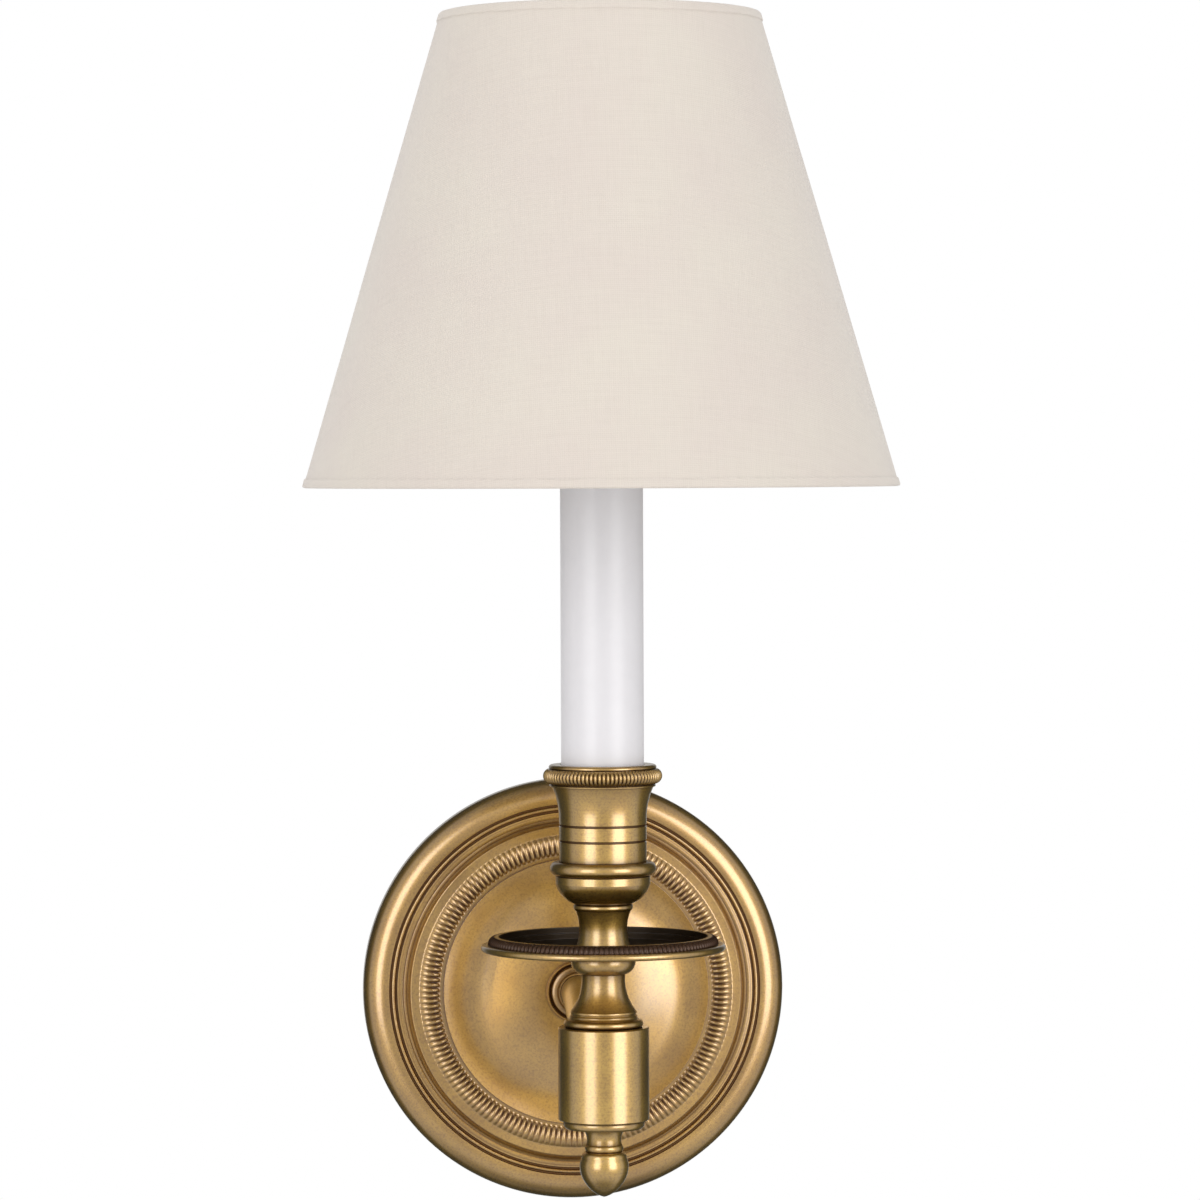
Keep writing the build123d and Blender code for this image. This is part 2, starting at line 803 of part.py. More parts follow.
# ---------------------------------------------------------------- lamp holder
rivet_place = strap_face - strap_tab / 2
with BuildPart() as holder_strap:
    with BuildSketch(side_section):
        with BuildLine():
            Polyline(
                (-nut_flats / 2, strap_foot_bottom),
                (strap_face + strap_thickness, strap_foot_bottom),
                (strap_face + strap_thickness, holder_bottom),
                (strap_face - strap_tab, holder_bottom),
                (strap_face - strap_tab, holder_bottom - strap_thickness),
                (strap_face, holder_bottom - strap_thickness),
                (strap_face, strap_nut_bottom),
                (-nut_flats / 2, strap_nut_bottom),
                close=True,
            )
        make_face()
    extrude(amount=strap_width / 2, both=True)
    with BuildSketch(stem_level(strap_foot_bottom)):
        Circle(nut_flats / 2)
    extrude(amount=strap_thickness)
    with BuildSketch(stem_level(strap_foot_bottom)):
        Circle(rod_hole)
    extrude(amount=strap_thickness, mode=Mode.SUBTRACT)
    with BuildSketch(stem_level(holder_bottom)):
        with Locations((0, rivet_place)):
            Circle(rivet_radius + slide_gap)
    extrude(amount=-strap_thickness, mode=Mode.SUBTRACT)
keep(holder_strap, "holder_strap")

with BuildPart() as holder_rivet:
    with BuildSketch(stem_level(holder_bottom - strap_thickness - rivet_head_height)):
        with Locations((0, rivet_place)):
            Circle(rivet_head_radius)
    extrude(amount=rivet_head_height)
    with BuildSketch(stem_level(holder_bottom - strap_thickness)):
        with Locations((0, rivet_place)):
            Circle(rivet_radius)
    extrude(amount=strap_thickness + holder_floor / 2)
keep(holder_rivet, "holder_rivet")

with BuildPart() as holder_body:
    with BuildSketch(stem_level(holder_bottom)):
        Circle(holder_radius)
    extrude(amount=holder_height)
    with BuildSketch(stem_level(holder_seat)):
        Circle(shell_bore + shell_wall + slide_gap)
    extrude(amount=holder_height, mode=Mode.SUBTRACT)
    with BuildSketch(stem_level(holder_bottom)):
        with Locations((0, rivet_place)):
            Circle(rivet_radius + slide_gap)
    extrude(amount=holder_floor / 2 + slide_gap, mode=Mode.SUBTRACT)
    with BuildSketch(stem_level(holder_bottom)):
        with GridLocations(2 * lead_offset, 0, 2, 1):
            Circle(lead_radius + slide_gap)
    extrude(amount=lead_holder_depth + slide_gap, mode=Mode.SUBTRACT)
keep(holder_body, "holder_body")

with BuildPart() as holder_shell:
    with BuildSketch(stem_level(holder_seat)):
        Circle(shell_bore + shell_wall)
        Circle(shell_bore, mode=Mode.SUBTRACT)
    extrude(amount=holder_top - shell_lift - holder_seat)
keep(holder_shell, "holder_shell")

tongue_top = bulb_button_bottom - swing_gap
tongue_foot = shell_bore - swing_gap
tongue_shoulder = holder_seat + contact_shoulder
tongue_back = tongue_foot - contact_thickness
with BuildPart() as holder_contact:
    with BuildSketch(side_section):
        with BuildLine():
            Polyline(
                (-tongue_foot, holder_seat),
                (tongue_foot, holder_seat),
                (tongue_foot, tongue_shoulder),
                (bulb_button_radius, tongue_top),
                (-bulb_button_radius, tongue_top),
                (-bulb_button_radius, tongue_top - contact_thickness),
                (bulb_button_radius - contact_thickness, tongue_top - contact_thickness),
                (tongue_back, tongue_shoulder - contact_thickness),
                (tongue_back, holder_seat + contact_thickness),
                (-tongue_foot, holder_seat + contact_thickness),
                close=True,
            )
        make_face()
    extrude(amount=contact_width / 2, both=True)
keep(holder_contact, "holder_contact")

# ---------------------------------------------------------------- leads
lead_top = holder_bottom + lead_holder_depth
lead_corners = [
    (-lead_end_height, 0),
    *arm_corners[1:3],
    (-arm_reach, -arm_drop),
    (-arm_reach, lead_top),
]
lead_bends = [arm_bend_radius, arm_bend_radius, lead_bend_radius]
for lead_name, lead_side in lead_sides.items():
    lead_plane = Plane.YZ.offset(lead_side * lead_offset)
    with BuildPart() as lead:
        with BuildLine(lead_plane) as lead_path:
            FilletPolyline(*lead_corners, radius=lead_bends)
        with BuildSketch(wall_level(lead_end_height)):
            with Locations((lead_side * lead_offset, 0)):
                Circle(lead_radius)
        sweep(path=lead_path.wire())
    route = lead_path.wire().length
    print(f"{lead_name}: {route:.1f} mm, least bend radius {min(lead_bends)} mm")
    keep(lead, lead_name)

# ---------------------------------------------------------------- bulb
with BuildPart() as bulb_contact:
    with BuildSketch(stem_section):
        with BuildLine():
            Polyline(
                (bulb_button_radius, bulb_button_bottom + bulb_button_height),
                (0, bulb_button_bottom + bulb_button_height),
                (0, bulb_button_bottom),
            )
            ThreePointArc(
                (0, bulb_button_bottom),
                (bulb_button_shoulder, bulb_button_bottom + bulb_button_shoulder_rise),
                (bulb_button_radius, bulb_button_bottom + bulb_button_height),
            )
        make_face()
    revolve(axis=stem_axis)
keep(bulb_contact, "bulb_contact")

insulator_bottom = bulb_button_bottom + bulb_button_height
with BuildPart() as bulb_insulator:
    with BuildSketch(stem_section):
        with BuildLine():
            Polyline(
                (0, insulator_bottom + slide_gap),
                (bulb_button_radius + bulb_insulator_ledge, insulator_bottom + slide_gap),
                (bulb_cap_radius - bulb_cap_wall, cap_rim_bottom),
                (0, cap_rim_bottom),
                close=True,
            )
        make_face()
    revolve(axis=stem_axis)
keep(bulb_insulator, "bulb_insulator")

with BuildPart() as bulb_cap:
    with BuildSketch(stem_section):
        with BuildLine():
            Polyline(
                (0, cap_rim_bottom),
                (bulb_cap_radius - bulb_cap_wall, cap_rim_bottom),
                (bulb_cap_radius, cap_rim_bottom + bulb_cap_wall),
                (bulb_cap_radius, cap_rim_top),
                (bulb_cap_radius - bulb_cap_wall, cap_rim_top),
                (bulb_cap_radius - bulb_cap_wall, cap_rim_bottom + bulb_cap_wall),
                (0, cap_rim_bottom + bulb_cap_wall),
                close=True,
            )
        make_face()
    revolve(axis=stem_axis)
keep(bulb_cap, "bulb_cap")


with BuildPart() as bulb_glass:
    with BuildSketch(stem_section):
        for inset, mode in ((0, Mode.ADD), (glass_wall, Mode.SUBTRACT)):
            neck_wide = glass_neck_radius - inset
            belly_wide = glass_radius - inset
            foot = cap_rim_top - glass_neck_height - inset
            swell = ((neck_wide + belly_wide) / 2, (cap_rim_top + glass_belly) / 2)
            tip = bulb_tip - inset
            shoulder = (glass_tip_radius, tip - glass_tip_height)
            with BuildLine():
                Polyline((0, tip), (0, foot), (neck_wide, foot), (neck_wide, cap_rim_top))
                flare = TangentArc((neck_wide, cap_rim_top), swell, tangent=(0, 1))
                TangentArc(swell, (belly_wide, glass_belly), tangent=flare % 1)
                TangentArc((belly_wide, glass_belly), shoulder, tangent=(0, 1))
                TangentArc((0, tip), shoulder, tangent=(1, 0))
            make_face(mode=mode)
    revolve(axis=stem_axis)
keep(bulb_glass, "bulb_glass")

mount_bottom = cap_rim_bottom + bulb_cap_wall
mount_top = cap_rim_top + mount_height
with BuildPart() as bulb_mount:
    with BuildSketch(stem_level(mount_bottom)):
        Circle(mount_radius)
    extrude(amount=mount_top - mount_bottom)
keep(bulb_mount, "bulb_mount")

wire_foot = mount_radius / 2
wire_shoulder = mount_top + filament_foot_height
filament_top = mount_top + filament_height
with BuildPart() as bulb_filament:
    with BuildLine(stem_section) as filament_path:
        FilletPolyline(
            (-wire_foot, mount_top),
            (-wire_foot, wire_shoulder),
            (-filament_width / 2, filament_top),
            (0, filament_top + filament_rise),
            (filament_width / 2, filament_top),
            (wire_foot, wire_shoulder),
            (wire_foot, mount_top),
            radius=filament_bend_radius,
        )
    with BuildSketch(stem_level(mount_top)):
        with Locations((-wire_foot, 0)):
            Circle(filament_wire)
    sweep(path=filament_path.wire())
keep(bulb_filament, "bulb_filament")

# ---------------------------------------------------------------- clip on the bulb
grip_radius = glass_radius + clip_gap + clip_wire
grip_line = Vector(grip_radius, 0).rotate(Axis.Z, clip_angle)
loop_top = glass_belly + clip_loop_height / 2
loop_bottom = glass_belly - clip_loop_height / 2
clip_wire_level = clip_plate_bottom + clip_plate_height / 2
with BuildPart() as bulb_clip:
    with BuildSketch(stem_level(clip_plate_bottom)):
        Circle(clip_plate_radius)
        Circle(clip_rivet_radius + slide_gap, mode=Mode.SUBTRACT)
    extrude(amount=clip_plate_height)
    for side in (-1, 1):
        with BuildLine(side_section.offset(side * grip_line.X)) as loop_path:
            FilletPolyline(
                (grip_line.Y, loop_top),
                (grip_line.Y, loop_bottom),
                (-grip_line.Y, loop_bottom),
                (-grip_line.Y, loop_top),
                radius=clip_corner_radius,
                close=True,
            )
        with BuildSketch(Plane(origin=loop_path.wire() @ 0, z_dir=loop_path.wire() % 0)):
            Circle(clip_wire)
        sweep(path=loop_path.wire())
        with BuildLine(stem_section) as arm_wire:
            FilletPolyline(
                (side * grip_line.X, loop_top),
                (side * grip_line.X, bulb_tip),
                (side * clip_arm_inset, clip_wire_level),
                (side * (clip_plate_radius - clip_arm_overlap), clip_wire_level),
                radius=clip_arm_bend_radius,
            )
        with BuildSketch(Plane(origin=arm_wire.wire() @ 0, z_dir=arm_wire.wire() % 0)):
            Circle(clip_wire)
        sweep(path=arm_wire.wire())
keep(bulb_clip, "bulb_clip")

with BuildPart() as clip_rivet:
    with BuildSketch(stem_section):
        with BuildLine():
            Polyline(
                (0, clip_plate_bottom),
                (clip_rivet_radius, clip_plate_bottom),
                (clip_rivet_radius, hub_top),
                (clip_rivet_head, hub_top),
            )
            TangentArc(
                (0, hub_top + clip_rivet_head_height), (clip_rivet_head, hub_top), tangent=(1, 0)
            )
            Line((0, hub_top + clip_rivet_head_height), (0, clip_plate_bottom))
        make_face()
    revolve(axis=stem_axis)
keep(clip_rivet, "clip_rivet")

# ---------------------------------------------------------------- shade
liner_offset = fabric_thickness + seat_gap
wall_inside = liner_offset + liner_thickness


def shade_radius(height, depth=0.0):
    """Radius of the shade's cone at a height, at a depth under its outer face."""
    return shade_top_radius + shade_slope * (shade_top - height) - depth


with BuildPart() as shade_fabric:
    with BuildSketch(stem_section):
        with BuildLine():
            Polyline(
                (shade_radius(shade_top, fabric_thickness), shade_top),
                (shade_radius(shade_top), shade_top),
                (shade_radius(shade_top - hem_width), shade_top - hem_width),
                (shade_radius(shade_top - hem_width, hem_rise), shade_top - hem_width),
                (shade_radius(shade_bottom + hem_width, hem_rise), shade_bottom + hem_width),
                (shade_radius(shade_bottom + hem_width), shade_bottom + hem_width),
                (shade_radius(shade_bottom), shade_bottom),
                (shade_radius(shade_bottom, fabric_thickness), shade_bottom),
                close=True,
            )
        make_face()
    revolve(axis=stem_axis)
keep(shade_fabric, "shade_fabric")

with BuildPart() as shade_liner:
    with BuildSketch(stem_section):
        with BuildLine():
            Polyline(
                (shade_radius(shade_top, wall_inside), shade_top),
                (shade_radius(shade_top, liner_offset), shade_top),
                (shade_radius(shade_bottom, liner_offset), shade_bottom),
                (shade_radius(shade_bottom, wall_inside), shade_bottom),
                close=True,
            )
        make_face()
    revolve(axis=stem_axis)
keep(shade_liner, "shade_liner")

top_ring_height = shade_top - frame_wire
bottom_ring_height = shade_bottom + frame_wire
ring_clear = frame_wire + seat_gap
top_ring_radius = shade_radius(shade_top, wall_inside + ring_clear)
bottom_ring_radius = shade_radius(shade_bottom + 2 * frame_wire, wall_inside + ring_clear)


def wire_ring(radius, height):
    """A ring of round wire around the stem's axis."""
    with BuildPart() as ring:
        with BuildSketch(stem_section):
            with Locations((radius, height)):
                Circle(frame_wire)
        revolve(axis=stem_axis)
    return ring


keep(wire_ring(top_ring_radius, top_ring_height), "shade_top_ring")
keep(wire_ring(bottom_ring_radius, bottom_ring_height), "shade_bottom_ring")

spoke_level = hub_bottom + spider_wire
spoke_inner = clip_rivet_head + spider_wire
spoke_elbow = top_ring_radius + shade_slope * spider_drop - spider_elbow_gap
spoke_top = top_ring_height - frame_wire - seat_gap
with BuildPart() as shade_spider:
    with BuildSketch(stem_level(hub_bottom)):
        Circle(spider_hub_radius)
        Circle(clip_rivet_radius + slide_gap, mode=Mode.SUBTRACT)
    extrude(amount=spider_hub_height)
    for spoke in range(spider_arms):
        turn = spider_first_arm + spoke * 360 / spider_arms
        outward = Vector(1, 0, 0).rotate(Axis.Z, turn)
        spoke_plane = Plane(
            origin=(0, -arm_reach, 0), x_dir=outward, z_dir=outward.cross(Vector(0, 0, 1))
        )
        with BuildLine(spoke_plane) as spoke_path:
            FilletPolyline(
                (spoke_inner, spoke_level),
                (spoke_elbow, spoke_level),
                (top_ring_radius, spoke_top),
                radius=spider_bend_radius,
            )
        with BuildSketch(Plane(origin=spoke_path.wire() @ 0, z_dir=spoke_path.wire() % 0)):
            Circle(spider_wire)
        sweep(path=spoke_path.wire())
keep(shade_spider, "shade_spider")
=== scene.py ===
"""The looks of the wall light: turned brass, candle sleeve, linen shade and bulb cap.

Blender objects are in metres, +Z up, with the wall as the plane y = 0. The outlines of turned pieces
are in millimetres, because their beads and grooves are tenths of one.
"""
import json
import math
from collections import namedtuple

import bmesh
import bpy
from mathutils import Matrix, Vector, noise


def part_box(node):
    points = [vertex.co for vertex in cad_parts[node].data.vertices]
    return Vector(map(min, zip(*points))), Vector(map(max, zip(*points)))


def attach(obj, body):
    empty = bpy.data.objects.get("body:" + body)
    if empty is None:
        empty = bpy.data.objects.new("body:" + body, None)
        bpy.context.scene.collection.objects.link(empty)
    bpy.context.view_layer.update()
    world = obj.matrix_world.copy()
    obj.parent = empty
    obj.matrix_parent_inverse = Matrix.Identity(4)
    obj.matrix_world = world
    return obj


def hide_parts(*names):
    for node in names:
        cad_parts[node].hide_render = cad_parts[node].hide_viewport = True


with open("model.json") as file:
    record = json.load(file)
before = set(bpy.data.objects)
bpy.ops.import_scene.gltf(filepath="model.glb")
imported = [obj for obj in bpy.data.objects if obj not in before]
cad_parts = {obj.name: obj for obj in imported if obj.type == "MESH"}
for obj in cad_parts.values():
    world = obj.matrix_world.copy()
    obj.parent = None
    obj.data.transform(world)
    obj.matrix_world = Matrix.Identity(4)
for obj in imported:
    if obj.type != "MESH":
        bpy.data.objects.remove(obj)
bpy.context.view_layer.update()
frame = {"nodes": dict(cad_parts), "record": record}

nodes = frame["nodes"]
MM = 0.001
TURN = 2 * math.pi

# ---------------------------------------------------------------- places from the frame
stem_low, stem_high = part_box("stem_body")
STEM_Y = (stem_low.y + stem_high.y) / 2 / MM


def stem_sizes(node):
    """Radius, foot and head of a piece on the column, in millimetres."""
    low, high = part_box(node)
    return (high.x - low.x) / 2 / MM, low.z / MM, high.z / MM


def plate_sizes(node):
    """Radius, foot and head of a piece on the wall plate, in millimetres from the wall."""
    low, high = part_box(node)
    return (high.x - low.x) / 2 / MM, -high.y / MM, -low.y / MM


# ---------------------------------------------------------------- turning
ON_AXIS = 1e-6          # radius under which a row is one point on the axis
COARSE = 160            # segments round a turned piece
ARC_STEP = 7.0          # degrees between points of an arc
ARC_LEAST = 4           # steps of the shortest arc
CORNER_STEPS = 4        # steps round a softened corner
CORNER_SHARE = 0.45     # most of a stretch that a softened corner takes
SHARP_TURN = 12.0       # degrees; sharper corners are softened
FINE_STEPS = 12         # rows across a milled or threaded stretch
MILL_SAMPLES = 8        # points across one ridge
MILL_FADE = 0.16        # share of a milled band in which its grooves fade out at each side
MILL_DEEPENS = 0.24, 0.64       # shares of the band between which shallow grooves get deep
RIDGE_POWER = 0.85      # under 1 the grooves are narrower than the ridges
DARKENED_STEPS = 6          # rows on a straight stretch beside a darkened corner (patina and painted shade)
DARKENING_FADE = 5            # the higher, the faster the patina and painted shade fade beside a darkened corner

Stop = namedtuple("Stop", "r h bulge fine age", defaults=(0.0, False, 0.0))
Row = namedtuple("Row", "r h out along fine age")


def clamp(value):
    return min(max(value, 0.0), 1.0)


def arc_points(a, b, steps):
    """Points from a to b on an arc that bulges to the left by b.bulge."""
    start, end = Vector((a.r, a.h)), Vector((b.r, b.h))
    chord = end - start
    if not b.bulge:
        return [start + chord * i / steps for i in range(steps + 1)]
    sweep = 4 * math.atan(2 * b.bulge / chord.length)
    radius = chord.length / 2 / math.sin(sweep / 2)
    left = Vector((-chord.y, chord.x)).normalized()
    centre = (start + end) / 2 + left * (b.bulge - radius)
    if not steps:
        steps = max(ARC_LEAST, math.ceil(abs(math.degrees(sweep)) / ARC_STEP))
    spoke = start - centre
    return [centre + Matrix.Rotation(-sweep * i / steps, 2) @ spoke for i in range(steps + 1)]


def signed_area(points):
    """Twice the area inside a closed outline, above zero where it runs anticlockwise."""
    return sum(a[0] * b[1] - b[0] * a[1] for a, b in zip(points, points[1:] + points[:1]))


def stretch_steps(a, b):
    """Steps along the stretch from a to b; 0 leaves them to the arc."""
    if b.fine:
        return FINE_STEPS
    if b.bulge:
        return 0
    return DARKENED_STEPS if a.age or b.age else 1


def trace(outline, soften):
    """Rows along a closed outline, with its sharp corners rounded by about soften.

    The darkening of a stop (patina, and painted shade in the drip pan and the rosette's cove) fades
    quickly on both sides of it, but stays as it is on a stretch between two stops of the same darkening.
    """
    stretches = [(arc_points(a, b, stretch_steps(a, b)), a, b)
                 for a, b in zip(outline[-1:] + outline[:-1], outline)]
    points = []
    for (before, a, b), (after, _, c) in zip(stretches, stretches[1:] + stretches[:1]):
        corner, back, ahead = before[-1], before[-1] - before[-2], after[1] - after[0]
        count = len(before) - 1
        for i, point in enumerate(before[1:-1], start=1):
            t = i / count
            age = a.age * (1 - t) ** DARKENING_FADE + b.age * t ** DARKENING_FADE
            points.append((point, b.fine, t, a.age if a.age == b.age else age))
        turn = back.angle(ahead, 0)
        if corner.x < ON_AXIS or b.fine or c.fine or math.degrees(turn) < SHARP_TURN:
            points.append((corner, b.fine or c.fine, 1.0 if b.fine else 0.0, b.age))
            continue
        room = CORNER_SHARE * min(back.length, ahead.length)
        cut = min(soften * math.tan(turn / 2), room)
        first, last = corner - back.normalized() * cut, corner + ahead.normalized() * cut
        for i in range(CORNER_STEPS + 1):
            t = i / CORNER_STEPS
            bent = first * (1 - t) ** 2 + corner * 2 * t * (1 - t) + last * t * t
            points.append((bent, False, 0.0, b.age))
    side = 1 if signed_area([tuple(p[0]) for p in points]) > 0 else -1
    rows = []
    for i, (point, fine, along, age) in enumerate(points):
        way = points[(i + 1) % len(points)][0] - points[i - 1][0]
        out = Vector((way.y, -way.x)).normalized() * side
        rows.append(Row(point.x, point.y, out, along, fine, age))
    return rows


def ring_faces(mesh, lower, upper):
    """Faces between two rings: one count divides the other, or a ring is one point on the axis."""
    if len(lower) == 1 and len(upper) == 1:
        return
    count = min(n for n in (len(lower), len(upper)) if n > 1)

    def piece_of(ring, i):
        if len(ring) == 1:
            return ring
        ratio = len(ring) // count
        return [ring[(i * ratio + k) % len(ring)] for k in range(ratio + 1)]

    for i in range(count):
        mesh.faces.new(piece_of(lower, i) + piece_of(upper, i)[::-1])


def weighted_normals(piece):
    """Smooth shading that keeps the flats flat beside their narrow rounded corners."""
    for face in piece.data.polygons:
        face.use_smooth = True
    normals = piece.modifiers.new("normals", "WEIGHTED_NORMAL")
    normals.weight = 50


def mesh_object(name, mesh, finish, suffix=""):
    """An object in the scene from a bmesh, with its material."""
    data = bpy.data.meshes.new(name)
    mesh.to_mesh(data)
    mesh.free()
    made = bpy.data.objects.new(name + suffix, data)
    bpy.context.scene.collection.objects.link(made)
    data.materials.append(finish)
    return made


def new_piece(name, mesh, body, finish):
    """A dressed piece that stands for the node of that name and rides on its body."""
    piece = mesh_object(name, mesh, finish, "_look")
    weighted_normals(piece)
    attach(piece, body)
    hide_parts(name)
    return piece


def turned(name, outline, body, finish, slot, on_plate=False, soften=0.18, count=COARSE,
           fine_ratio=1, carve=None, carve_age=0.0):
    """A piece turned round the column's axis, or round the plate's axis.

    carve(angle, row) gives how far the fine rows stand out, and carve_age the patina a millimetre
    under the surface.
    """
    mesh = bmesh.new()
    patina_and_shade_layer = mesh.verts.layers.float.new("age")
    rings = []
    rows = trace(outline, soften)
    for row in rows:
        total = 1 if row.r < ON_AXIS else count * (fine_ratio if row.fine else 1)
        ring = []
        for i in range(total):
            angle = TURN * i / total
            lift = carve(angle, row) if carve and row.fine else 0.0
            radius, height = row.r + row.out.x * lift, row.h + row.out.y * lift
            across, deep = radius * math.cos(angle), radius * math.sin(angle)
            place = (across, -height, deep) if on_plate else (across, STEM_Y + deep, height)
            vert = mesh.verts.new(Vector(place) * MM)
            vert[patina_and_shade_layer] = row.age - lift * carve_age
            ring.append(vert)
        rings.append(ring)
    for lower, upper in zip(rings, rings[1:] + rings[:1]):
        ring_faces(mesh, lower, upper)
    if signed_area([(row.r, row.h) for row in rows]) < 0:
        bmesh.ops.reverse_faces(mesh, faces=mesh.faces)
    return new_piece(name, mesh, body, finish)


def ridges(count, depth, first_depth=1.0):
    """Milling: rounded ridges between narrow grooves, fading out at both sides of the band.

    The grooves deepen across the band, from first_depth of their depth.
    """
    shallow, deep = MILL_DEEPENS

    def carve(angle, row):
        fade = min(1.0, row.along / MILL_FADE, (1 - row.along) / MILL_FADE)
        fade *= first_depth + (1 - first_depth) * clamp((row.along - shallow) / (deep - shallow))
        groove = 1 - abs(math.sin(count * angle / 2)) ** RIDGE_POWER
        return -depth * fade * groove
    return carve


# ---------------------------------------------------------------- materials
def new_material(name):
    """A material with its node tree emptied down to a Principled BSDF."""
    made = bpy.data.materials.new(name)
    made.use_nodes = True
    tree = made.node_tree
    tree.nodes.clear()
    output = tree.nodes.new("ShaderNodeOutputMaterial")
    shader = tree.nodes.new("ShaderNodeBsdfPrincipled")
    tree.links.new(shader.outputs[0], output.inputs["Surface"])
    return made, tree, shader


def fill(tree, node, values):
    """Set or link a node's sockets."""
    for key, value in values.items():
        if isinstance(value, bpy.types.NodeSocket):
            tree.links.new(value, node.inputs[key])
        else:
            node.inputs[key].default_value = value


def add(tree, kind, values=None, **settings):
    """A new node with its settings made and its sockets set or linked."""
    made = tree.nodes.new(kind)
    for key, value in settings.items():
        setattr(made, key, value)
    fill(tree, made, values or {})
    return made


def math_node(tree, operation, first, second=0.0):
    return add(tree, "ShaderNodeMath", {0: first, 1: second}, operation=operation).outputs[0]


def mix_colour(tree, factor, first, second):
    made = add(tree, "ShaderNodeMix", {0: factor, 6: first, 7: second}, data_type="RGBA")
    return made.outputs[2]


def spread(tree, value, low, high, to_low=0.0, to_high=1.0):
    """A value's range stretched to another range."""
    made = add(tree, "ShaderNodeMapRange", {0: value, 1: low, 2: high, 3: to_low, 4: to_high})
    return made.outputs[0]


def colour(red, green, blue):
    """A linear colour from the 0 to 255 numbers of a picture."""
    def linear(channel):
        c = channel / 255
        return c / 12.92 if c <= 0.04045 else ((c + 0.055) / 1.055) ** 2.4
    return (linear(red), linear(green), linear(blue), 1.0)


def place_of(tree):
    return add(tree, "ShaderNodeTexCoord").outputs["Object"]


def noise_at(tree, place, scale, detail=3.0, roughness=0.55):
    made = add(tree, "ShaderNodeTexNoise",
               {"Vector": place, "Scale": scale, "Detail": detail, "Roughness": roughness})
    return made.outputs["Fac"]


def add_bump(tree, shader, height, strength, distance):
    """Fine relief of a surface, in metres."""
    bump = add(tree, "ShaderNodeBump", {"Strength": strength, "Distance": distance, "Height": height})
    fill(tree, shader, {"Normal": bump.outputs[0]})
    return bump


def let_light_through(tree, shader, share, values):
    """Mix a share of light from behind into a material."""
    through = add(tree, "ShaderNodeBsdfTranslucent", values)
    both = add(tree, "ShaderNodeMixShader", {0: share, 1: shader.outputs[0], 2: through.outputs[0]})
    output = next(node for node in tree.nodes if node.type == "OUTPUT_MATERIAL")
    fill(tree, output, {"Surface": both.outputs[0]})


DOME_REACH = 36.0       # radius inside which the plate's spun disc is a little uneven
DEEPEST_PATINA_AND_SHADE = colour(60, 56, 44)       # deepest darkening, over 1: patina in milled groove bottoms, painted shade inside the drip pan
# warm, pale, brown and dark tones of the brass; dark is patina and painted shade, and the arm's paler
# tones are a painted highlight
BRASS_TONES = {
    "column": (colour(188, 145, 52), colour(202, 161, 66), colour(138, 94, 38), colour(74, 49, 32)),
    "plate": (colour(178, 133, 48), colour(194, 150, 61), colour(132, 88, 36), colour(80, 48, 31)),
    "arm": (colour(226, 198, 112), colour(232, 206, 124), colour(190, 150, 84), colour(80, 48, 31)),
}


def brass(where):
    """Antique brass: warm metal with turning lines, soft mottling, brown patina and painted shade in
    recesses.
    """
    made, tree, shader = new_material("brass_" + where)
    on_plate = where == "plate"
    place = place_of(tree)
    parts = add(tree, "ShaderNodeSeparateXYZ", {0: place})
    if on_plate:
        flat = add(tree, "ShaderNodeCombineXYZ", {0: parts.outputs[0], 1: parts.outputs[2]})
        radius = add(tree, "ShaderNodeVectorMath", {0: flat.outputs[0]}, operation="LENGTH")
        line = radius.outputs["Value"]
    else:
        line = parts.outputs[2]
    drift = noise_at(tree, place, 45.0, 1.0)
    line_place = add(tree, "ShaderNodeCombineXYZ", {
        0: math_node(tree, "MULTIPLY", line, 2600.0),
        1: math_node(tree, "MULTIPLY", drift, 6.0)}).outputs[0]
    lines = noise_at(tree, line_place, 1.0, 2.0, 0.6)
    blotches = noise_at(tree, place, 70.0, 4.0)
    specks = noise_at(tree, place, 1500.0, 2.0, 0.6)
    # painted shade: darker in recesses and between parts, where nearby surfaces hide the light
    occlusion_shade = add(tree, "ShaderNodeAmbientOcclusion", {"Distance": 0.0022}, samples=8).outputs["AO"]
    # patina from each piece's outline, and painted shade in the drip pan and the rosette's cove
    age = add(tree, "ShaderNodeAttribute", attribute_name="age").outputs["Fac"]
    warm, pale, brown, dark = BRASS_TONES[where]
    metal = mix_colour(tree, spread(tree, blotches, 0.35, 0.68), warm, pale)
    metal = mix_colour(tree, spread(tree, specks, 0.45, 0.7, 0.0, 0.5), metal, brown)
    metal = mix_colour(tree, spread(tree, lines, 0.45, 0.8, 0.0, 0.25), metal, brown)
    metal = mix_colour(tree, spread(tree, occlusion_shade, 0.25, 0.85, 0.85, 0.0), metal, dark)
    metal = mix_colour(tree, spread(tree, age, 0.0, 1.0), metal, dark)
    metal = mix_colour(tree, spread(tree, age, 1.0, 2.0), metal, DEEPEST_PATINA_AND_SHADE)
    rough = math_node(tree, "ADD", spread(tree, blotches, 0.3, 0.7, 0.34, 0.42),
                      spread(tree, age, 0.0, 1.0, 0.0, 0.2))
    fill(tree, shader, {
        "Base Color": metal, "Metallic": 1.0, "Roughness": rough,
        "Specular Tint": colour(150, 146, 128), "Coat Weight": spread(tree, age, 0.0, 0.8, 1.0, 0.15),
        "Coat Roughness": 0.22, "Coat IOR": 2.15})
    height = math_node(tree, "ADD", lines, math_node(tree, "MULTIPLY", specks, 0.6))
    bump = add_bump(tree, shader, height, 0.02, 0.0002)
    if on_plate:
        uneven = spread(tree, noise_at(tree, place, 26.0, 1.0), 0, 1, -0.5, 0.5)
        inside = spread(tree, line, 0.7 * DOME_REACH * MM, DOME_REACH * MM, 1.0, 0.0)
        add_bump(tree, bump, math_node(tree, "MULTIPLY", uneven, inside), 1.0, 0.0045)
    return made


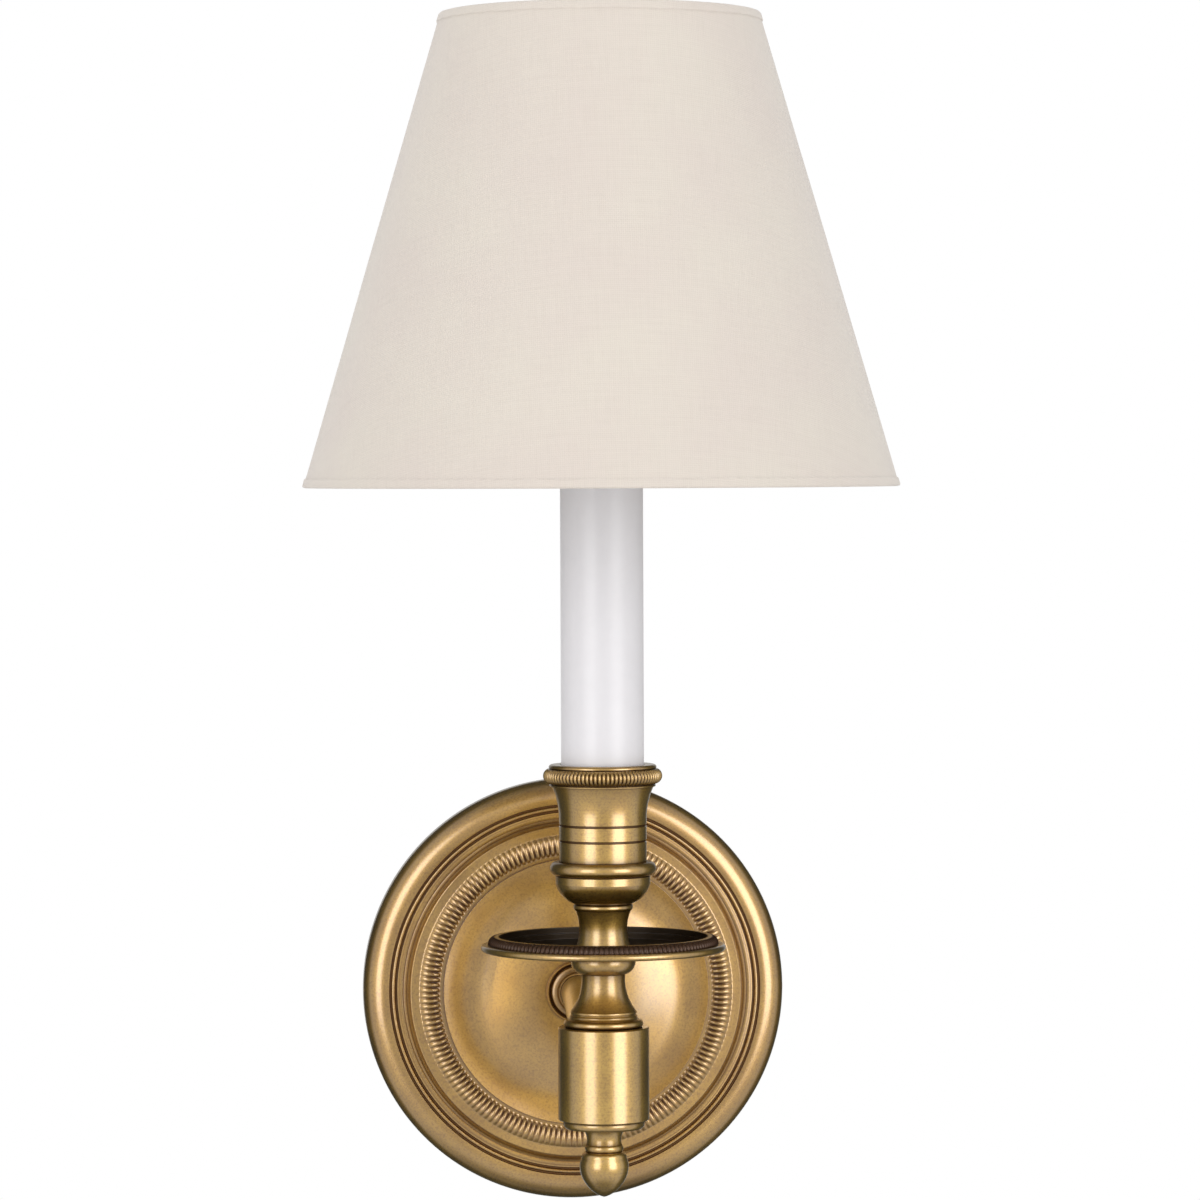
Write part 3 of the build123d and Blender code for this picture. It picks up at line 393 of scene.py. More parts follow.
def plain_finish(name, tone, metallic=0.0, roughness=0.4, grain=0.0, grain_scale=400.0, second=None):
    """A plain material with a little mottling in its colour, roughness and surface."""
    made, tree, shader = new_material(name)
    place = place_of(tree)
    mottle = noise_at(tree, place, grain_scale, 4.0, 0.6)
    broad = noise_at(tree, place, grain_scale / 9, 2.0)
    tint = second or tuple(0.8 * c for c in tone[:3]) + (1.0,)
    fill(tree, shader, {
        "Base Color": mix_colour(tree, spread(tree, mottle, 0.4, 0.7, 0.0, 0.5), tone, tint),
        "Metallic": metallic,
        "Roughness": spread(tree, broad, 0.3, 0.7, 0.85 * roughness, 1.15 * roughness)})
    add_bump(tree, shader, mottle, grain, 0.0002)
    return made


def linen():
    """Plain-woven off-white linen, with slubs, that lets a little light through."""
    made, tree, shader = new_material("linen")
    flat = add(tree, "ShaderNodeUVMap", uv_map="flat").outputs[0]
    parts = add(tree, "ShaderNodeSeparateXYZ", {0: flat})
    across, along = parts.outputs[0], parts.outputs[1]
    thread = 0.00058        # metres from thread to thread
    wander = noise_at(tree, flat, 260.0, 2.0)
    waves = []
    for coordinate in (across, along):
        shifted = math_node(tree, "ADD", coordinate, math_node(tree, "MULTIPLY", wander, 0.9 * thread))
        waves.append(math_node(tree, "MULTIPLY", shifted, math.pi / thread))
    warp = math_node(tree, "ABSOLUTE", math_node(tree, "SINE", waves[0]))
    weft = math_node(tree, "ABSOLUTE", math_node(tree, "SINE", waves[1]))
    over = math_node(tree, "MULTIPLY", math_node(tree, "COSINE", waves[0]),
                     math_node(tree, "COSINE", waves[1]))
    over = spread(tree, over, -0.3, 0.3)
    threads = add(tree, "ShaderNodeMix", {0: over, 2: warp, 3: weft}).outputs[0]
    slubs = []
    for x_scale, y_scale in ((1500.0, 70.0), (70.0, 1500.0)):
        stretched = add(tree, "ShaderNodeCombineXYZ", {
            0: math_node(tree, "MULTIPLY", across, x_scale),
            1: math_node(tree, "MULTIPLY", along, y_scale)}).outputs[0]
        slubs.append(noise_at(tree, stretched, 1.0, 2.0, 0.6))
    slub = math_node(tree, "ADD", slubs[0], slubs[1])
    cloud = noise_at(tree, flat, 28.0, 3.0)
    # the third tone is painted shade between threads and in the hems' steps, and the darker tone of the
    # slubs
    cream, pinkish, thread_shade_and_slub_tone = colour(237, 229, 218), colour(235, 225, 216), colour(212, 201, 190)
    cloth = mix_colour(tree, spread(tree, cloud, 0.35, 0.65), cream, pinkish)
    cloth = mix_colour(tree, spread(tree, threads, 0.1, 0.8, 0.32, 0.0), cloth, thread_shade_and_slub_tone)
    cloth = mix_colour(tree, spread(tree, slub, 0.9, 1.3, 0.0, 0.16), cloth, thread_shade_and_slub_tone)
    # painted shade in the hems' steps and along the lapped seam
    occlusion_shade = add(tree, "ShaderNodeAmbientOcclusion", {"Distance": 0.0012}, samples=8).outputs["AO"]
    cloth = mix_colour(tree, spread(tree, occlusion_shade, 0.5, 0.95, 0.5, 0.0), cloth, thread_shade_and_slub_tone)
    fill(tree, shader, {"Base Color": cloth, "Roughness": 0.9, "Specular IOR Level": 0.25,
                        "Sheen Weight": 0.55, "Sheen Roughness": 0.5})
    height = math_node(tree, "ADD", threads, math_node(tree, "MULTIPLY", slub, 0.6))
    bump = add_bump(tree, shader, height, 0.35, 0.00012)
    let_light_through(tree, shader, 0.22, {"Color": cloth, "Normal": bump.outputs[0]})
    return made


def lining():
    """The hard white backing of the shade, which lets light through."""
    made, tree, shader = new_material("shade_lining")
    place = place_of(tree)
    cloud = noise_at(tree, place, 60.0, 3.0)
    tone = mix_colour(tree, cloud, colour(240, 236, 228), colour(232, 226, 216))
    fill(tree, shader, {"Base Color": tone, "Roughness": 0.45})
    add_bump(tree, shader, noise_at(tree, place, 1400.0, 3.0), 0.12, 0.0001)
    let_light_through(tree, shader, 0.3, {"Color": tone})
    return made


def clear_glass():
    """Thin clear glass with the faintest waviness."""
    made, tree, shader = new_material("clear_glass")
    waves = noise_at(tree, place_of(tree), 90.0, 1.0)
    fill(tree, shader, {"Base Color": (0.98, 0.985, 0.98, 1.0), "Transmission Weight": 1.0, "IOR": 1.47,
                        "Roughness": spread(tree, waves, 0.3, 0.7, 0.0, 0.03)})
    add_bump(tree, shader, waves, 0.04, 0.0004)
    return made


def glow_wire():
    """Dark tungsten wire that glows faintly."""
    made, tree, shader = new_material("tungsten")
    heat = noise_at(tree, place_of(tree), 500.0, 2.0)
    fill(tree, shader, {
        "Base Color": mix_colour(tree, heat, colour(92, 88, 84), colour(128, 120, 110)),
        "Metallic": 1.0, "Roughness": 0.4,
        "Emission Color": (1.0, 0.62, 0.3, 1.0), "Emission Strength": 2.0})
    return made


stem_brass = brass("column")
plate_brass = brass("plate")
sleeve_white = plain_finish("candle_white", colour(223, 221, 224), roughness=0.38, grain=0.03,
                            grain_scale=220.0, second=colour(219, 217, 220))
finishes = {
    "antique_brass": stem_brass,
    "candle_white": sleeve_white,
    "zinc_steel": plain_finish("zinc_steel", colour(186, 188, 190), 1.0, 0.42, 0.15, 300.0),
    "green_screw": plain_finish("green_screw", colour(58, 122, 74), 0.6, 0.4, 0.1, 500.0),
    "lamp_brass": plain_finish("lamp_brass", colour(205, 172, 104), 1.0, 0.28, 0.05, 600.0),
    "holder_resin": plain_finish("holder_resin", colour(38, 34, 32), 0.0, 0.35, 0.08, 700.0),
    "lead_black": plain_finish("lead_black", colour(30, 30, 31), 0.0, 0.45, 0.05, 500.0),
    "lead_white": plain_finish("lead_white", colour(226, 224, 218), 0.0, 0.45, 0.05, 500.0),
    "solder": plain_finish("solder", colour(172, 172, 170), 1.0, 0.45, 0.2, 900.0),
    "black_glass": plain_finish("black_glass", colour(20, 19, 22), 0.0, 0.12, 0.02, 300.0),
    "clear_glass": clear_glass(),
    "tungsten": glow_wire(),
    "clip_brass": plain_finish("clip_brass", colour(196, 160, 96), 1.0, 0.34, 0.08, 500.0),
    "shade_lining": lining(),
    "shade_linen": linen(),
}

# ---------------------------------------------------------------- the wall plate
plate_radius, _, plate_face = plate_sizes("backplate")
rosette_radius, rosette_foot, rosette_top = plate_sizes("arm_rosette")
arm_low, arm_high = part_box("arm_tube")
arm_radius = (arm_high.x - arm_low.x) / 2 / MM
fit_gap = 0.05          # between a bore and what passes through it
arm_bore = arm_radius + fit_gap


def make_backplate():
    """Spun plate: ovolo edge, bead between grooves, cove, flat band, milled ring and dished disc."""
    wall, rim, edge = 1.4, 4.5, 10.0        # the sheet, and the levels of the rim and the shoulder
    ovolo_width, bead_width, cove_width, band_width = 7.4, 0.9, 1.8, 2.2
    groove, groove_deep = 0.8, 0.45
    shoulder = plate_radius - ovolo_width
    bead = shoulder - groove
    second_groove = bead - bead_width
    ridge = second_groove - groove
    cove = ridge - cove_width
    slope_width, slope_foot, slope_rise = 2.2, 0.9, 1.1
    band, band_level = cove - slope_width, 13.0
    milled = band - band_width
    milled_width, milled_height = 6.4, 1.5
    milled_inner = milled - milled_width
    disc, disc_level = milled_inner - 1.1, 14.2
    dish, dish_level = disc - 5.5, 12.9     # the deepest ring of the dish
    dish_out, dish_out_rise = 2.1, 0.55
    dish_in, dish_in_rise = 6.4, 0.7
    ovolo_bulge, dish_bulge, dome_bulge = -1.9, 0.47, -0.55
    hub = rosette_radius + 0.7
    floor = edge - groove_deep
    groove_age, cove_age, corner_age = 0.8, 0.6, 0.45
    outline = [
        Stop(plate_radius, 0),
        Stop(plate_radius, rim),
        Stop(shoulder, edge, ovolo_bulge),
        Stop(shoulder - groove * 0.3, floor, age=groove_age),
        Stop(shoulder - groove * 0.7, floor, age=groove_age),
        Stop(bead, edge),
        Stop(second_groove, edge, -0.3),
        Stop(second_groove - groove * 0.3, floor, age=groove_age),
        Stop(second_groove - groove * 0.7, floor, age=groove_age),
        Stop(ridge, edge),
        Stop(ridge - 0.5, edge + 0.05, age=cove_age),
        Stop(cove, edge, -0.1, age=cove_age + 0.05),
        Stop(cove - slope_foot, edge + slope_rise, 0.2, age=cove_age),
        Stop(band + 0.25, band_level - 0.15, 0.1, age=0.2),
        Stop(band, band_level),
        Stop(milled, band_level),
        Stop(milled_inner, band_level, -milled_height, True),
        Stop(disc, band_level, age=corner_age),
        Stop(disc, disc_level),
        Stop(dish + dish_out, dish_level + dish_out_rise, 0.04),
        Stop(dish - dish_in, dish_level + dish_in_rise, dish_bulge),
        Stop(hub, plate_face, dome_bulge),
        Stop(arm_bore, plate_face),
        Stop(arm_bore, plate_face - wall),
        Stop(hub, plate_face - wall),
        Stop(disc - wall, band_level - wall),
        Stop(band - wall, band_level - wall),
        Stop(cove - wall, floor - wall),
        Stop(shoulder, floor - wall),
        Stop(plate_radius - wall, rim, 1.2),
        Stop(plate_radius - wall, 0),
    ]
    ridge_count = 172
    return turned("backplate", outline, "wall_frame", plate_brass, "antique_brass", on_plate=True,
                  count=ridge_count, fine_ratio=MILL_SAMPLES,
                  carve=ridges(ridge_count, 0.65, 0.4), carve_age=1.8)


def make_rosette():
    """Ring round the arm's root: thin outer edge, dark groove and a hollow cove up to the tube."""
    edge, groove = 0.7, 0.6
    outline = [
        Stop(rosette_radius, rosette_foot),
        Stop(rosette_radius, rosette_foot + edge),
        Stop(rosette_radius - groove * 0.6, rosette_foot + 2 * edge),
        Stop(rosette_radius - groove, rosette_foot + 2 * edge, age=0.3),
        Stop(rosette_radius - 2 * groove, rosette_foot + edge * 0.5, age=0.9),
        # painted shade dims the cove up to the tube
        Stop(rosette_radius - 3 * groove, rosette_foot + 2 * edge, age=0.4),
        Stop(arm_radius + groove, rosette_top, 0.5, age=0.4),
        Stop(arm_bore, rosette_top, age=0.9),
        Stop(arm_bore, rosette_foot),
    ]
    return turned("arm_rosette", outline, "wall_frame", plate_brass, "antique_brass", on_plate=True)


# ---------------------------------------------------------------- the column
rod_radius, _, _ = stem_sizes("centre_rod")
bore = rod_radius + fit_gap


def column_piece(name, outline, **extra):
    return turned(name, outline, "wall_frame", stem_brass, "antique_brass", **extra)


def make_body_cap():
    """Step ring under the cylinder, with the plug that closes it."""
    _, foot, head = stem_sizes("body_cap")
    rim, plug, stud_bore, rounding = 11.4, 10.88, 2.55, 0.5
    seat = stem_sizes("stem_body")[1]
    outline = [
        Stop(stud_bore, foot),
        Stop(stud_bore, head),
        Stop(plug, head),
        Stop(plug, seat),
        Stop(rim, seat, age=0.5),
        Stop(rim, foot + rounding, 0.25),
        Stop(rim - rounding, foot),
    ]
    return column_piece("body_cap", outline)


def make_finial():
    """Acorn drop: flared neck, bead, round shoulder and a drawn-out tip."""
    belly, tip, stud_top = stem_sizes("finial")
    seat = stem_sizes("body_cap")[1]
    stud, flare, waist, point = 2.5, 6.4, 5.05, 1.1
    neck = seat - 4.7
    bead = neck - 2.0
    shoulder = bead - 1.65
    wide = bead - 4.3
    taper = wide - 4.87
    outline = [
        Stop(0, tip),
        Stop(0, stud_top),
        Stop(stud, stud_top),
        Stop(stud, seat),
        Stop(flare, seat, age=0.3),
        Stop(waist, neck, -0.7, age=0.7),
        Stop(waist, bead, 0.45, age=0.65),
        Stop(belly - 0.55, shoulder, 0.42),
        Stop(belly, wide, 0.14),
        Stop(0.75 * belly, taper, 0.4),
        Stop(point, tip + 0.35, 0.42),
    ]
    return column_piece("finial", outline, soften=0.1, count=96)


def make_neck():
    """Bead, cove and fillet on the cylinder, then a neck that narrows upwards."""
    bead, foot, head = stem_sizes("neck")
    side, waist, cove_foot = bead - 0.6, 6.2, 9.2
    bead_top = foot + 2.1
    cove_top = bead_top + 1.65
    fillet_top = cove_top + 0.9
    outline = [
        Stop(bore, head),
        Stop(bore, foot),
        Stop(side, foot, age=0.8),
        Stop(side, bead_top, -0.6, age=0.55),
        Stop(cove_foot + 0.35, cove_top - 0.55, 0.3, age=0.6),
        Stop(cove_foot, cove_top, 0.03, age=0.2),
        Stop(cove_foot, fillet_top, -0.2, age=0.45),
        Stop(waist, head, 1.0, age=0.55),
    ]
    return column_piece("neck", outline, soften=0.12)


def make_collar():
    """Small bowl that carries the drip pan."""
    radius, foot, head = stem_sizes("pan_collar")
    bottom = 6.2
    outline = [
        Stop(bore, head),
        Stop(bore, foot),
        Stop(bottom, foot, age=0.5),
        Stop(radius, head, -1.25, age=0.4),
    ]
    return column_piece("pan_collar", outline)


def make_pan():
    """Shallow pan: rounded bright rim, raised milled ring, inner step and dished floor."""
    radius, foot, head = stem_sizes("drip_pan")
    collar = stem_sizes("pan_collar")[0]
    floor = foot + 1.8
    rim_low = foot + 2.05
    rounding = 0.95
    rim_high = rim_low + 2 * rounding
    ring = radius - 2.1
    land = ring - 1.6
    ring_bore = ring - 3.2
    step = ring_bore - 1.3
    step_high, step_low = rim_high + 0.6, rim_high - 1.0
    # painted shade and painted reflection of the dark space above: the milled ring dark, the pan's
    # inside darker still
    painted_ring_shade, painted_inner_shade = 1.0, 1.6
    outline = [
        Stop(bore, foot),
        Stop(collar, foot),
        Stop(radius - rounding, rim_low),
        Stop(radius - rounding, rim_high, -rounding),
        Stop(ring, rim_high, age=painted_ring_shade),
        Stop(land, head, -0.6, True, age=painted_ring_shade),
        Stop(ring_bore, head, age=painted_inner_shade),
        Stop(ring_bore, step_high, age=painted_inner_shade),
        Stop(step, step_high, age=painted_inner_shade),
        Stop(step, step_low, age=painted_inner_shade),
        Stop(collar + 0.6, floor, age=painted_inner_shade),
        Stop(bore, floor, age=painted_inner_shade),
    ]
    ridge_count = 140
    return column_piece("drip_pan", outline, count=ridge_count, fine_ratio=MILL_SAMPLES,
                        carve=ridges(ridge_count, 0.5), carve_age=0.4)


def make_upper_stem():
    """Waisted stem on the pan, with a bead at its head."""
    _, foot, head = stem_sizes("upper_stem")
    bottom, top, bead_height = 8.4, 7.9, 2.0
    outline = [
        Stop(bore, head),
        Stop(bore, foot),
        Stop(bottom, foot, age=0.4),
        Stop(top, head - bead_height, 1.35),
        Stop(top, head, -0.6, age=0.5),
    ]
    return column_piece("upper_stem", outline)


def make_bowl():
    """Bowl under the cup, with a fillet and a bead."""
    bead, foot, head = stem_sizes("cup_bowl")
    bottom, belly, curve_top, bowl_rim = 8.4, 13.5, foot + 5.69, foot + 7.9
    bead_bulge = 1.7
    side = bead - bead_bulge
    outline = [
        Stop(bore, head),
        Stop(bore, foot),
        Stop(bottom, foot, age=0.6),
        Stop(belly, curve_top, -1.0),
        Stop(belly, bowl_rim - 0.2),
        Stop(belly - 0.25, bowl_rim + 0.05, age=0.7),
        Stop(side, bowl_rim + 0.15, age=0.6),
        Stop(side, head, -bead_bulge, age=0.55),
    ]
    return column_piece("cup_bowl", outline)


def make_cup():
    """Candle cup: straight wall with two grooves, flare, fillet, milled bead and a rounded lip."""
    _, foot, head = stem_sizes("candle_cup")
    straight, flared, ring = 12.45, 14.75, 15.6
    groove_levels = foot + 5.95, foot + 10.35
    flare_foot = foot + 11.2
    flare_head = flare_foot + 10.0
    ring_foot = flare_head + 1.0
    ring_head = ring_foot + 4.1
    lip = 15.3
    sleeve, seat, _ = stem_sizes("candle_sleeve")
    mouth = sleeve + 0.2
    groove, groove_deep = 0.36, 0.25
    outline = [Stop(mouth, seat), Stop(bore, seat), Stop(bore, foot), Stop(straight, foot, age=0.5)]
    for level in groove_levels:
        outline += [
            Stop(straight, level - groove),
            Stop(straight - groove_deep, level - groove * 0.6, age=0.9),
            Stop(straight - groove_deep, level + groove * 0.6, age=0.9),
            Stop(straight, level + groove),
        ]
    outline += [
        Stop(straight, flare_foot),
        Stop(flared - 0.35, flare_head, 0.6, age=0.3),
        Stop(flared + 0.2, flare_head + 0.12),
        Stop(flared + 0.35, flare_head + 0.5),
        Stop(flared, ring_foot - 0.1, age=0.5),
        Stop(ring - 0.2, ring_foot, age=0.8),
        Stop(ring, ring_head, -1.4, True),
        Stop(lip - 0.25, ring_head + 0.1, age=0.8),
        Stop(lip, ring_head + 0.35, age=0.2),
        Stop(lip - 0.9, head, -0.3),
        Stop(mouth + 0.3, head),
        Stop(mouth, head - 0.3, age=0.4),
    ]
    ridge_count = 86
    return column_piece("candle_cup", outline, count=ridge_count, fine_ratio=MILL_SAMPLES * 2,
                        soften=0.1, carve=ridges(ridge_count, 0.6), carve_age=1.3)


def make_sleeve():
    """White candle sleeve with a softly rounded top edge."""
    radius, foot, head = stem_sizes("candle_sleeve")
    wall = 0.8
    outline = [
        Stop(radius, foot),
        Stop(radius, head),
        Stop(radius - wall, head),
        Stop(radius - wall, foot),
    ]
    return turned("candle_sleeve", outline, "wall_frame", sleeve_white, "candle_white", soften=0.25)


# ---------------------------------------------------------------- the bulb
def make_bulb_cap():
    """Candelabra screw cap, with its rolled thread."""
    radius, foot, head = stem_sizes("bulb_cap")
    pitch, depth, wall = 2.54, 0.5, 0.4
    crest, waist = radius - 0.01, radius - 0.25
    shoulder, thread_foot, thread_head = foot + 1.2, foot + 1.3, head - 2.2
    bands = 5               # of fine rows up the thread
    fade_share = 1 / 6      # of the thread, at each end

    def thread(angle, row):
        share = (row.h - thread_foot) / (thread_head - thread_foot)
        fade = min(1.0, share / fade_share, (1 - share) / fade_share)
        return -depth * (0.5 - 0.5 * math.cos(TURN * row.h / pitch - angle) * fade)

    outline = [
        Stop(0, foot),
        Stop(radius - 1.2, foot),
        Stop(waist, shoulder),
        Stop(waist, thread_foot),
    ]
    for i in range(bands):
        level = thread_foot + (thread_head - thread_foot) * (i + 1) / bands
        outline.append(Stop(crest, level, 0.0, True))
    outline += [
        Stop(crest, head),
        Stop(radius - wall, head),
        Stop(radius - wall - 0.3, foot + 1.4),
        Stop(0, foot + wall),
    ]
    return turned("bulb_cap", outline, "bulb", finishes["lamp_brass"], "lamp_brass", count=96,
                  carve=thread)


# ---------------------------------------------------------------- the shade
shade_low, shade_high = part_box("shade_fabric")
shade_bottom, shade_top = shade_low.z / MM, shade_high.z / MM
bottom_radius = (shade_high.x - shade_low.x) / 2 / MM
top_radius = 45.5
slope = (bottom_radius - top_radius) / (shade_top - shade_bottom)
lean = math.atan(slope)
apex = shade_top + top_radius / slope       # level of the cone's point
skin = 0.45             # thickness of the cloth in its body
fold_skin = 0.3         # thickness of the cloth over the rings
hem_width, hem_rise = 2.3, 0.4
ring_wire = 1.2
ring_depth = 2.5        # depth of the rings' centres under the outer face
seam_overlap = 9.0
CLOTH_COLUMNS = 300
CLOTH_ROWS = 40
INNER_ROWS = 8


def cone_radius(level, depth=0.0):
    """Radius of the shade's cone at a level, at a depth under its outer face."""
    return top_radius + slope * (shade_top - level) - depth


def cloth_profile():
    """Closed outline of the cloth: (depth, level, share of the hems' waviness).

    A hem is given by its rise from the shade's edge, and both hems are the same.
    """
    inner_face = ring_depth + ring_wire + 0.1
    turn_in = inner_face - 0.8      # where the cloth starts to bend in round the ring
    fold_end = 2 * ring_wire
    edge_gap, cloth_gap = 0.3, skin + 0.3
    hem = [
        (inner_face, fold_end, 0), (inner_face + fold_skin, fold_end, 0),
        (inner_face + fold_skin, 0.9, 0), (inner_face - 0.1, -0.1, 0),
        (turn_in, -fold_skin, 0), (1.0, -fold_skin, 0), (edge_gap, -0.15, 0), (0.0, 0.35, 0),
        (0.0, hem_width - 0.35, 1), (0.08, hem_width - 0.1, 1),
        (hem_rise, hem_width + 0.12, 1), (hem_rise, hem_width + 0.6, 1),
    ]
    inside_hem = [
        (cloth_gap - 0.05, 0.6, 0), (cloth_gap, -0.02, 0), (turn_in, -0.02, 0), (inner_face, 0.9, 0),
    ]
    first, last = shade_bottom + hem_width + 2.0, shade_top - hem_width - 2.0

    def at_bottom(points):
        return [(depth, shade_bottom + rise, wavy) for depth, rise, wavy in points]

    def at_top(points):
        return [(depth, shade_top - rise, wavy) for depth, rise, wavy in reversed(points)]

    def body(depth, low, high, steps):
        return [(depth, low + (high - low) * i / steps, 0) for i in range(steps + 1)]

    return (at_bottom(hem) + body(hem_rise, first, last, CLOTH_ROWS) + at_top(hem)
            + at_top(inside_hem) + body(hem_rise + skin - 0.05, last, first, INNER_ROWS)
            + at_bottom(inside_hem))


def cloth_face(mesh, uv_layer, corners):
    """A face through (vert, place in the flat cloth) pairs."""
    face = mesh.faces.new([vert for vert, _ in corners])
    for loop, (_, place) in zip(face.loops, corners):
        loop[uv_layer].uv = place


def make_fabric():
    """Linen skin in one strip, cut as a sector: hemmed, folded over both rings, lapped at the back."""
    mesh = bmesh.new()
    uv_layer = mesh.loops.layers.uv.new("flat")
    profile = cloth_profile()
    lap = seam_overlap / ((top_radius + bottom_radius) / 2)
    start = math.pi / 2 - lap / 2
    lap_rise, lap_gap = 0.6 * lap, 0.08     # turn in which the lap lifts, and the air under it
    hem_waves, hem_wave, swells, swell_height = 9, 0.22, 2.2, 0.12
    columns = []
    for i in range(CLOTH_COLUMNS + 1):
        angle = start + (TURN + lap) * i / CLOTH_COLUMNS
        way = Vector((math.cos(angle), math.sin(angle), 0))
        share = clamp((angle - start - TURN + lap_rise) / lap_rise)
        lift = share * share * (3 - 2 * share) * (skin + lap_gap)
        column = []
        for depth, level, wavy in profile:
            wave = noise.noise(way * hem_waves + Vector((0, 0, level * 0.05))) * hem_wave * wavy
            swell = noise.noise(way * swells + Vector((0, 0, level * 0.03))) * swell_height
            # the lap lies over the lower layer: outside it, inside it and past its folded edges
            inward = clamp((depth - 1) / (ring_depth + ring_wire - 1))
            past_edge = min(level - shade_bottom, 0.0) or max(level - shade_top, 0.0)
            radius = cone_radius(level, depth) + lift * (1 - 2 * inward) + swell
            height = level + wave + math.copysign(lift, past_edge) * (abs(past_edge) > 0.01)
            at = Vector((radius * way.x, STEM_Y + radius * way.y, height))
            slant = (apex - level) / math.cos(lean) + depth
            swing = (angle - start - math.pi - lap / 2) * math.sin(lean)
            flat = Vector((math.sin(swing), -math.cos(swing))) * slant
            column.append((mesh.verts.new(at * MM), flat * MM))
        columns.append(column)
    for here, there in zip(columns, columns[1:]):
        for k in range(len(profile)):
            after = (k + 1) % len(profile)
            cloth_face(mesh, uv_layer, (here[k], there[k], there[after], here[after]))
    cloth_face(mesh, uv_layer, columns[0][::-1])
    cloth_face(mesh, uv_layer, columns[-1])
    bmesh.ops.recalc_face_normals(mesh, faces=mesh.faces)
    cloth = new_piece("shade_fabric", mesh, "shade", finishes["shade_linen"])
    return cloth


# ---------------------------------------------------------------- the pieces
for entry in frame["record"]["subparts"]:
    slots = nodes[entry["node"]].data.materials
    slots.clear()
    slots.append(finishes[entry["material_slot"]])
nodes["arm_tube"].data.materials[0] = brass("arm")      # paler tones: a painted highlight on the arm tube

make_backplate()
make_rosette()
make_body_cap()
make_finial()
make_neck()
make_collar()
make_pan()
make_upper_stem()
make_bowl()
make_cup()
make_sleeve()
make_bulb_cap()
make_fabric()

# ---------------------------------------------------------------- camera
SENSOR, LENS = 36.0, 155.37     # millimetres
yaw, pitch, roll = math.radians(5.374), math.radians(1.544), math.radians(-0.227)
eye = Vector((-0.13781, -1.55920, 0.15925))
ahead = Vector((math.sin(yaw) * math.cos(pitch), math.cos(yaw) * math.cos(pitch), -math.sin(pitch)))
level_right = ahead.cross(Vector((0, 0, 1))).normalized()
level_up = level_right.cross(ahead)
right = level_right * math.cos(roll) + level_up * math.sin(roll)
up = level_up * math.cos(roll) - level_right * math.sin(roll)
camera_data = bpy.data.cameras.new("camera")
camera_data.sensor_width = SENSOR
camera_data.lens = LENS
camera_data.clip_start = 0.01
camera = bpy.data.objects.new("camera", camera_data)
camera.matrix_world = Matrix((right, up, -ahead)).transposed().to_4x4()
camera.location = eye
bpy.context.scene.collection.objects.link(camera)
bpy.context.scene.camera = camera

# ---------------------------------------------------------------- stage and light
STUDIO_MIDDLE = Vector((0, -0.1, 0.1))
TENT_RADIUS = 2.9
LAMP_DISTANCE = 2.2


def make_world():
    """Dim white light all round, seen as plain white behind the light and in its reflections."""
    world = bpy.data.worlds.new("studio")
    bpy.context.scene.world = world
    world.use_nodes = True
    tree = world.node_tree
    tree.nodes.clear()
    dim = add(tree, "ShaderNodeBackground", {"Color": (1, 1, 1, 1), "Strength": 0.9})
    white = add(tree, "ShaderNodeBackground", {"Color": (1, 1, 1, 1), "Strength": 1.0})
    rays = add(tree, "ShaderNodeLightPath")
    seen = math_node(tree, "MAXIMUM", rays.outputs["Is Camera Ray"], rays.outputs["Is Transmission Ray"])
    seen = math_node(tree, "MAXIMUM", seen, rays.outputs["Is Glossy Ray"])
    both = add(tree, "ShaderNodeMixShader", {0: seen, 1: dim.outputs[0], 2: white.outputs[0]})
    output = add(tree, "ShaderNodeOutputWorld")
    tree.links.new(both.outputs[0], output.inputs["Surface"])


def make_floor():
    """Pale floor well under the light, so that its edge stays out of sight."""
    half, middle_y, level = 2.6, -1.0, -1.5
    made, tree, shader = new_material("floor")
    cloud = noise_at(tree, place_of(tree), 3.0, 2.0)
    tone = mix_colour(tree, cloud, colour(250, 249, 248), colour(246, 245, 244))
    fill(tree, shader, {"Base Color": tone, "Roughness": 0.8})
    mesh = bmesh.new()
    mesh.faces.new([mesh.verts.new((half * x, middle_y + half * y, level))
                    for x, y in ((-1, -1), (1, -1), (1, 1), (-1, 1))])
    floor = mesh_object("floor", mesh, made)
    floor.visible_glossy = False


